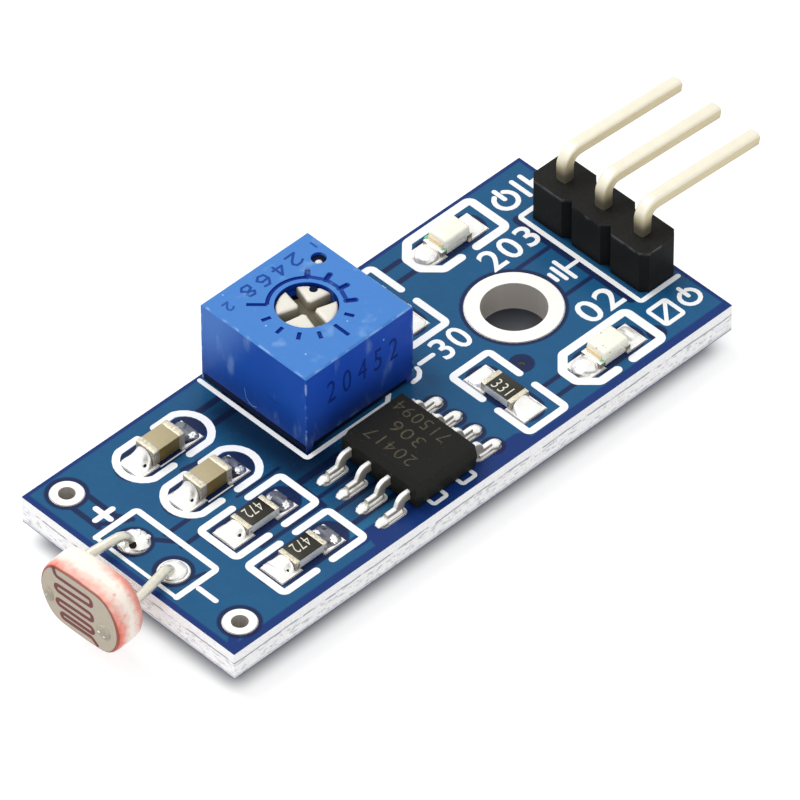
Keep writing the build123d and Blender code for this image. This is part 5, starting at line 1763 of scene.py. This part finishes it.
@dataclass
class Pins:
    """The header's three pins: square wires with soft edges, bent over the board's end.

    Args:
        x: distance of the pins from the sensor end.
        first_y: distance of the nearest pin from the near edge.
        count: how many pins there are.
        pitch: distance from one pin to the next.
        side: the wire's side.
        foot: height of the lower ends above the board's underside.
        rise: height of the bent part above it.
        reach: how far the tips stand beyond the upright part.
        droop: how far the tips hang below the bend.
    """

    x: float = 30.68
    first_y: float = 4.58
    count: int = 3
    pitch: float = 2.54
    side: float = 0.68
    foot: float = -1.0
    rise: float = 5.68
    reach: float = 7.42
    droop: float = 0.45

    def build(self) -> None:
        """Makes the row with Geometry Nodes and rounds the tips."""
        clay = Clay()
        tip = on_board(self.x + self.reach, self.first_y, self.rise - self.droop)
        path = [on_board(self.x, self.first_y, height) for height in (self.foot, self.rise)]
        sizes = {
            "Width": self.side, "Thickness": self.side, "Edge": 0.16, "Fillet": 0.7, "Pitch": self.pitch,
            "Count": self.count,
        }
        clay.run(Paths.bent_strips(), [*path, tip], Stock.GOLD, smooth=True, **sizes)
        half = self.side * 0.47
        for index in range(self.count):
            place = Matrix.Translation(tip + Vector((0, self.pitch * index, 0)))
            clay.add(dome((half, half, 0.22)), Stock.GOLD, place @ Matrix.Rotation(math.pi / 2, 4, "Y"))
        clay.publish("bent_pins", "gold_plate", [f"header_pin_{k + 1}" for k in range(self.count)])


# Trimmer


@dataclass
class TrimmerMarks:
    """What the trimmer's CAD housing lacks: painted shade in its pit with a bead, a block of painted shade in
    the gap below it, digits and a scratch.

    Args:
        near_face: the housing's near face, from the board's near edge.
        left_face: its face on the sensor side, from the sensor end.
        pit: middle of the pit in its top, from the sensor end and the near edge.
        gap_low: nearest, lowest corner of the block of painted shade in the gap below the housing.
        gap_high: its farthest, highest corner.
    """

    near_face: float = 6.9
    left_face: float = 11.21
    pit: Flat = (17.17, 12.2)
    gap_low: Point = (11.17, 6.94, 1.64)
    gap_high: Point = (17.7, 13.7, 1.98)

    def build(self) -> None:
        """Makes the marks, those on the faces as thin solids that just stand out."""
        clay = Clay()
        self._corner(clay)
        # Painted shade: a dark block fills the gap below the housing.
        clay.add(rounded_box(on_board(*self.gap_low), on_board(*self.gap_high), 0.05), Stock.SHADE_FILL)
        self._near(clay)
        self._left(clay)
        clay.publish("trimmer_marks", "blue_plastic")

    def _corner(self, clay: Clay) -> None:
        """Adds painted shade on the pit's floor and round its rim, and the cream bead in it."""
        # Painted shade on the pit's floor and round its rim.
        deep = plate(ring(0.36, 24), TRIMMER_TOP - 0.4, TRIMMER_TOP - 0.16)
        clay.add(deep, Stock.SHADE_FILL, Matrix.Translation(on_board(*self.pit, 0.0)), False)
        bead = on_board(self.pit[0] - 0.12, self.pit[1] - 0.12, TRIMMER_TOP - 0.17)
        clay.add(dome((0.19, 0.19, 0.12), 0.0, 1.0), Stock.CREAM, Matrix.Translation(bead))
        path = [on_board(x, y, TRIMMER_TOP - 0.2) for x, y in ring(0.31, 24, self.pit)]
        clay.run(Paths.ribbon(), path, Stock.SHADE_FILL, closed=True, Width=0.13, Height=0.02, Fillet=0.0)

    def _near(self, clay: Clay) -> None:
        """Adds plain digits on the near face."""
        place = Matrix.Translation(on_board(14.8, self.near_face - 0.001, 4.45))
        digits = lettering("20452", 4.5, 1.35, 0.004, 1.6, 0.0)
        clay.absorb(digits, Stock.SHADE_BLUE, place @ Matrix.Rotation(math.pi / 2, 4, "X"))

    def _left(self, clay: Clay) -> None:
        """Adds a short dark line and a curved pale scratch on the sensor side face."""
        x = self.left_face - 0.002
        clay.add(rounded_box(on_board(x, 8.7, 3.42), on_board(x + 0.01, 9.5, 3.47), 0.0), Stock.DEEP_BLUE)
        curve = ((11.0, 2.9), (10.9, 2.35), (10.55, 2.05), (10.2, 2.2))
        path = [on_board(x + 0.006, y, z) for y, z in curve]
        clay.run(Paths.wire(), path, Stock.PALE_BLUE, smooth=True, Radius=0.012, Fillet=0.3)


@dataclass
class Rotor:
    """The trimmer's cream rotor as seen in its dial hole: four rounded lobes about a cross slot.

    Args:
        radius: the lobes' outer radius.
        top: height of the lobes above the board's underside.
        floor: height of the slot's floor.
        flange: radius of the flange below the dial, dark with painted shade.
        foot: height of the flange's underside.
        inner: half width of the slot in the middle.
        outer: half width of the slot at the rim.
        first: direction of the slot's first arm, in degrees.
        notch: direction of the index notch, in degrees.
        notch_radius: the notch's radius.
    """

    radius: float = 1.46
    top: float = 6.18
    floor: float = 5.56
    flange: float = 2.5
    foot: float = 4.63
    inner: float = 0.2
    outer: float = 0.28
    first: float = 76.0
    notch: float = 31.0
    notch_radius: float = 0.26

    def build(self) -> None:
        """Makes the lobes, with painted shade on their floor, the flange and the notch, in the CAD rotor's
        place.
        """
        clay = Clay()
        middle = Matrix.Translation((*TRIMMER_CENTRE, 0.0))
        for index in range(4):
            clay.add(self._petal(self._lobe(index)), Stock.CREAM, middle)
        # Painted shade on the slot's floor, the flange and in the notch.
        clay.add(plate(ring(1.25, 24), self.floor - 0.2, self.floor), Stock.SLOT_SHADE, middle)
        clay.add(plate(ring(self.flange, 30), self.foot, self.floor - 0.06), Stock.SHADE_FILL, middle, False)
        spot = middle @ Matrix.Translation((self._way() * 1.2).to_3d())
        clay.add(plate(ring(0.2, 18), self.top - 0.1, self.top + 0.014), Stock.SHADE_FILL, spot, False)
        clay.publish("dial_rotor", "cream_plastic", ["trimmer_rotor"], Body.ROTOR, 50.0)

    def _way(self) -> Vector:
        """The flat direction of the notch."""
        return Vector((math.cos(math.radians(self.notch)), math.sin(math.radians(self.notch))))

    def _petal(self, outline: Sequence[Flat]) -> Part:
        """A lobe with a soft top edge.

        Args:
            outline: the lobe as seen from above.

        Returns:
            The lobe, open below.
        """
        centre = sum((Vector(point) for point in outline), Vector((0, 0))) / len(outline)
        top, count = self.top, len(outline)
        closing = (9.0, top + 0.01)
        rings = (
            (0.0, self.floor), (0.0, top - 0.16), (0.04, top - 0.06), (0.12, top - 0.01), (0.24, top),
            closing,
        )

        def spot(along: float, turn: float) -> Point:
            """The point of a ring of the lobe, drawn in towards its centre by the ring's inset."""
            inset, height = rings[round(along * (len(rings) - 1))]
            point = Vector(outline[round(turn * count) % count])
            away = point - centre
            point -= away.normalized() * min(inset, away.length)
            return (point.x, point.y, height)

        return closed_up(sheet(spot, len(rings) - 1, count))

    def _lobe(self, index: int) -> list[Flat]:
        """The outline of one of the four lobes, which starts and ends by the slot's crossing."""
        start = self.first + 90 * index
        spread = math.degrees(math.asin(self.outer / self.radius))
        rim = arc((0, 0), self.radius, start + spread, start + 90 - spread, 16)
        if 0 < (self.notch - start) % 360 < 90:
            rim = [self._notched(point) for point in rim]
        bend = math.radians(start + 45)
        tip = Vector((math.cos(bend), math.sin(bend))) * self.inner * 1.55
        shares = (0.12, 0.35, 0.65)
        first = [tuple(tip.lerp(Vector(rim[0]), share)) for share in shares]
        last = [tuple(tip.lerp(Vector(rim[-1]), share)) for share in reversed(shares)]
        return [*first, *rim, *last]

    def _notched(self, point: Flat) -> Flat:
        """A point of the rim, drawn in where the index notch cuts it."""
        out = self._way()
        across = Vector(point).dot(Vector((-out.y, out.x)))
        if abs(across) >= self.notch_radius:
            return point
        return tuple(Vector(point) - out * math.sqrt(self.notch_radius**2 - across**2))


# Cell


@dataclass
class Cell:
    """The cell's face, track, dabs of metal, leads and the solder at its two holes.

    Args:
        radius: the face's radius.
        half_flat: half of the face's height between its flats.
        bulge: how far the coat stands out beyond the face.
        depth: the cell's depth.
        corner: radius of its back corner.
        squareness: how sharply the flats meet the round sides.
        track_width: width of the sensing track.
        track: the track's turning points, to the near side and up.
        holes: the leads' holes on the board, far one first.
    """

    radius: float = 2.45
    half_flat: float = 1.9
    bulge: float = 0.08
    depth: float = 1.8
    corner: float = 0.5
    squareness: float = 9.0
    track_width: float = 0.23
    track: tuple[Flat, ...] = (
        (-1.52, 1.72), (-1.38, 1.27), (0.85, 1.28), (0.86, 0.8), (-1.45, 0.7), (-1.45, 0.3),
        (0.84, 0.26), (0.83, -0.2), (-1.43, -0.26), (-1.42, -0.64), (0.8, -0.66), (0.85, -1.06),
        (-1.28, -1.06), (-1.16, -1.4), (0.7, -1.38), (1.0, -1.66),
    )
    holes: tuple[Flat, Flat] = ((1.65, 8.31), (1.65, 5.69))

    def build(self) -> None:
        """Makes the coat, the face, the dabs, the leads and the joints."""
        self._coat()
        self._face()
        self._dabs()
        far = ((-1.7, 8.86, 2.0), (-0.6, 8.75, 2.17), (1.25, 8.36, 2.42), (1.62, 8.3, 1.2))
        near = ((-1.7, 5.05, 2.1), (-1.2, 5.12, 2.15), (1.3, 5.64, 2.18), (1.66, 5.69, 1.2))
        self._lead("cell_lead_far", far)
        self._lead("cell_lead_near", near)
        self._solder()

    def _rim(self, turn: float, inset: float) -> Flat:
        """A point of the face's outline: round at the sides, flat above and below.

        Args:
            turn: share of the way round.
            inset: how far the outline is drawn in.

        Returns:
            The point, to the near side and up.
        """
        angle = 2 * math.pi * turn
        radius, flat = self.radius - inset, self.half_flat - inset
        share = radius * abs(math.sin(angle)) / flat
        level = flat * share / (1 + share**self.squareness) ** (1 / self.squareness)
        return (radius * math.cos(angle), math.copysign(level, math.sin(angle)))

    def _face(self) -> None:
        """Makes the face plate and the track on it."""
        clay = Clay()
        axes = cell_axes()
        clay.add(plate([self._rim(k / 60, 0.09) for k in range(60)], -0.1, 0.004), Stock.FACE, axes, False)
        path = [(u, v, 0.003) for u, v in self.track]
        clay.run(Paths.ribbon(), path, Stock.TRACK, axes, Width=self.track_width, Height=0.012, Fillet=0.2)
        clay.publish("cell_face", "cell_electrode", ["cell_electrodes", "cell_track"])

    def _coat(self) -> None:
        """Makes the coat as rings round the cell: soft at the front, round at the back corner."""
        out, back = self.bulge, self.depth - self.corner
        lip = ((0.09, 0.0), (0.02, 0.02), (-0.4 * out, 0.1), (-0.8 * out, 0.24))
        wall = [(-out, depth) for depth in (0.45, 0.8, back)]
        turns = [math.pi / 8 * k for k in range(1, 5)]
        bend = [(self.corner * (1 - math.cos(a)) - out, back + self.corner * math.sin(a)) for a in turns]
        rings = [*lip, *wall, *bend]

        def spot(along: float, turn: float) -> Point:
            """The point of a ring, or the middle of the back after the last one."""
            index = round(along * len(rings))
            if index == len(rings):
                return (0.0, 0.0, -self.depth)
            inset, depth = rings[index]
            return (*self._rim(turn, inset), -depth)

        clay = Clay()
        clay.add(closed_up(sheet(spot, len(rings), 64)), Stock.COAT, cell_axes())
        clay.publish("cell_coat", "cell_coat", ["cell_coating", "cell_disc"])

    def _dabs(self) -> None:
        """Makes the two dabs of metal on the face and, as painted highlights, bright beads on them."""
        clay = Clay()
        axes = cell_axes()
        for u, v, radii, seed in (
            (-1.98, -0.35, (0.34, 0.46, 0.11), 1.0),
            (1.52, -0.4, (0.44, 0.48, 0.11), 4.0),
        ):
            clay.add(dome(radii, 0.15, seed), Stock.SILVER, axes @ Matrix.Translation((u, v, 0.0)))
        # Painted highlights: small bright beads on the dabs.
        for u, v, size in ((-2.02, -0.45, 0.09), (1.3, -0.5, 0.1), (1.62, -0.62, 0.08)):
            bead = dome((size, size, size * 0.6), 0.1, u)
            clay.add(bead, Stock.SOLDER, axes @ Matrix.Translation((u, v, 0.09)))
        clay.publish("cell_metal_dabs", "solder", ["cell_dabs"])

    def _lead(self, node: str, path: Sequence[Point]) -> None:
        """Makes a bent wire in its CAD node's place, from its points on the board."""
        clay = Clay()
        points = [on_board(*point) for point in path]
        clay.run(Paths.wire(), points, Stock.WIRE, smooth=True, Radius=0.245, Fillet=0.62)
        clay.publish(f"bent_{node}", "tin", [node])

    def _solder(self) -> None:
        """Makes the joints above and below the board at both holes."""
        clay = Clay()
        far, near = self.holes
        clay.add(dome((0.74, 0.72, 0.3), 0.14, 2.6, 0.04), Stock.SOLDER, seat(*far))
        for x, y, size in ((1.95, 8.45, 0.32), (2.1, 8.0, 0.24)):
            lump = dome((size, size * 0.8, size * 0.6), 0.3, x + y)
            clay.add(lump, Stock.SOLDER, seat(x, y, LAND_TOP + 0.14))
        # Painted shade: a dark dome for the hollow beside the far lead.
        clay.add(dome((0.26, 0.18, 0.03), 0.3, 5.0), Stock.PIT_SHADE, seat(1.33, 8.02, LAND_TOP + 0.24, 40.0))
        clay.add(dome((0.66, 0.64, 0.3), 0.05, 1.2), Stock.SOLDER, seat(*near))
        for x, y in self.holes:
            under = seat(x, y, -0.02) @ Matrix.Rotation(math.pi, 4, "X")
            clay.add(dome((0.62, 0.62, 0.7), 0.1, y), Stock.SOLDER, under)
        clay.publish("cell_joints", "solder", ["cell_solder"])


# Studio


@dataclass(frozen=True)
class Lamp:
    """A square lamp that shines at the object.

    Args:
        name: its name.
        place: where it hangs.
        size: its side.
        power: its power, in watts.
        color: its linear colour.
    """

    name: str
    place: Point
    size: float
    power: float
    color: Rgb


@dataclass
class Studio:
    """The floor, the light and the camera.

    Args:
        floor_z: the floor's height, where the stubs' tips rest.
        floor_size: the floor's side.
        skirt: how far beyond the board the painted shadow reaches, where the floor's own glow is held back.
        inset: how far inside the board's edges the painted shadow is full.
        glow: strength of the floor's own glow.
        ambient: the world's strength on the object.
        lamps: the lamps.
        target: the point that the view was measured about.
        azimuth: the camera's turn, in degrees.
        elevation: the camera's height angle, in degrees.
        roll: the camera's roll, in degrees.
        distance: from the camera's plane to the target.
        shift: the target's place in the camera's plane.
        lens: the focal length for the sensor's width.
        sensor: the sensor's width.
    """

    floor_z: float = -1.2
    floor_size: float = 1500.0
    skirt: float = 0.3
    inset: float = 1.2
    glow: float = 0.64
    ambient: float = 0.72
    lamps: tuple[Lamp, ...] = (
        Lamp("key", (-70.0, 200.0, 380.0), 240.0, 0.86, (1.0, 0.985, 0.965)),
        Lamp("fill", (-300.0, -90.0, 260.0), 260.0, 0.2, (0.93, 0.96, 1.0)),
    )
    target: Point = (-8.7, 0.0, 1.6)
    azimuth: float = -44.2108
    elevation: float = 44.7783
    roll: float = -0.2893
    distance: float = 470.0446
    shift: Flat = (-0.9158, 0.0008)
    lens: float = 459.78
    sensor: float = 36.0

    def build(self) -> None:
        """Makes the floor, the lights and the camera."""
        self._floor()
        self._world()
        for lamp in self.lamps:
            self._light(lamp)
        self._camera()

    @staticmethod
    def _seen(graph: Graph) -> Socket:
        """1 for what the camera sees, straight or in a mirror or through glass, 0 for what only lights."""
        path = graph.node("ShaderNodeLightPath").outputs
        seen = graph.math("MAXIMUM", path["Is Camera Ray"], path["Is Transmission Ray"])
        return graph.math("MAXIMUM", seen, path["Is Glossy Ray"])

    def _floor(self) -> None:
        """Makes the floor: pale by its own glow where it is seen, with a painted shadow below and round the
        board.
        """
        half = self.floor_size * MM / 2
        mesh = bpy.data.meshes.new("floor")
        corners = [(-half, -half), (half, -half), (half, half), (-half, half)]
        mesh.from_pydata([(x, y, self.floor_z * MM) for x, y in corners], [], [(0, 1, 2, 3)])
        floor = bpy.data.objects.new("floor", mesh)
        bpy.context.scene.collection.objects.link(floor)
        material = bpy.data.materials.new("studio_floor")
        material.use_nodes = True
        graph = Graph(material.node_tree)
        seen = self._seen(graph)
        low, high = (corner[:2] for corner in BOARD_BOX)
        # Painted shadow: under and just round the board the floor is darker and its glow is held back.
        near = graph.rectangle(graph.place(), low, high, self.skirt * MM, self.inset * MM)
        shadow_paint = graph.mix(near, (0.5, 0.5, 0.5, 1), (0.3, 0.31, 0.35, 1))
        shader = material.node_tree.nodes["Principled BSDF"].inputs
        graph.feed(shader["Base Color"], graph.mix(seen, (0.9, 0.9, 0.91, 1), shadow_paint))
        graph.feed(shader["Roughness"], 1.0)
        graph.feed(shader["Specular IOR Level"], 0.0)
        graph.feed(shader["Emission Color"], (1, 1, 1, 1))
        glow = graph.times(graph.math("SUBTRACT", 1.0, near), self.glow, seen)
        graph.feed(shader["Emission Strength"], glow)
        mesh.materials.append(material)

    def _world(self) -> None:
        """Makes a white backdrop that lights the object less than it shows."""
        world = bpy.data.worlds.new("studio")
        bpy.context.scene.world = world
        world.use_nodes = True
        world.node_tree.nodes.clear()
        graph = Graph(world.node_tree)
        strength = graph.fit(self._seen(graph), 1.0 - self.ambient, self.ambient)
        back = graph.node("ShaderNodeBackground", {"Color": (1, 1, 1, 1), "Strength": strength})
        graph.feed(graph.node("ShaderNodeOutputWorld").inputs[0], back.outputs[0])

    def _light(self, lamp: Lamp) -> None:
        """Hangs a lamp and turns it to the target."""
        light = bpy.data.lights.new(lamp.name, "AREA")
        light.size = lamp.size * MM
        light.energy = lamp.power
        light.color = lamp.color
        made = bpy.data.objects.new(lamp.name, light)
        made.location = Vector(lamp.place) * MM
        made.rotation_euler = (Vector(self.target) - Vector(lamp.place)).to_track_quat("-Z", "Y").to_euler()
        bpy.context.scene.collection.objects.link(made)

    def _camera(self) -> None:
        """Puts the camera at the picture's view."""
        az, el, roll = (math.radians(angle) for angle in (self.azimuth, self.elevation, self.roll))
        back = Vector((math.sin(az) * math.cos(el), -math.cos(az) * math.cos(el), math.sin(el)))
        level = Vector((math.cos(az), math.sin(az), 0.0))
        right, up = (Matrix.Rotation(roll, 3, back) @ axis for axis in (level, back.cross(level)))
        place = Vector(self.target) - self.shift[0] * right - self.shift[1] * up + self.distance * back
        data = bpy.data.cameras.new("camera")
        data.lens = self.lens
        data.sensor_width = self.sensor
        data.clip_start = 0.05
        data.clip_end = 5.0
        camera = bpy.data.objects.new("camera", data)
        turn = Matrix((right, up, back)).transposed().to_4x4()
        camera.matrix_world = Matrix.Translation(place * MM) @ turn
        bpy.context.scene.collection.objects.link(camera)
        bpy.context.scene.camera = camera


def blocks() -> list[Union[Block, Indicator]]:
    """The small pieces of the board with their places."""
    capacitor, resistor = BlockKind.CAPACITOR, BlockKind.RESISTOR
    return [
        Block("capacitor_far", capacitor, (6.58, 11.73), seed=1.0),
        Block("capacitor_near", capacitor, (6.58, 8.61), seed=2.0),
        Block("resistor_far", resistor, (6.58, 5.49), code="472", seed=3.0),
        Block("resistor_near", resistor, (6.58, 2.37), code="472", seed=4.0),
        Block("resistor_indicator", resistor, (20.37, 3.25), 90.0, "331", 5.0),
        Block("resistor_power", resistor, (20.45, 11.0), 90.0, "331", 6.0),
        Indicator("power_led", (25.6, 12.32), ((-0.72, 0.6), (-0.72, -0.5)), 1.0),
        Indicator("output_led", (25.6, 1.9), ((-0.72, -0.5),), 2.0),
    ]


def main() -> None:
    """Builds every piece in order, then the studio."""
    logging.basicConfig(level=logging.INFO, format="%(message)s")
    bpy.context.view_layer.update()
    bpy.context.scene.view_settings.view_transform = "Standard"
    for node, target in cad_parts.items():
        plain_finish(node).give(target)
    for piece in [Legend(), *blocks(), Joints(), Chip(), TrimmerMarks(), Rotor(), Pins(), Cell(), Studio()]:
        piece.build()
        LOG.info("%s done", type(piece).__name__)


if __name__ == "__main__":
    main()
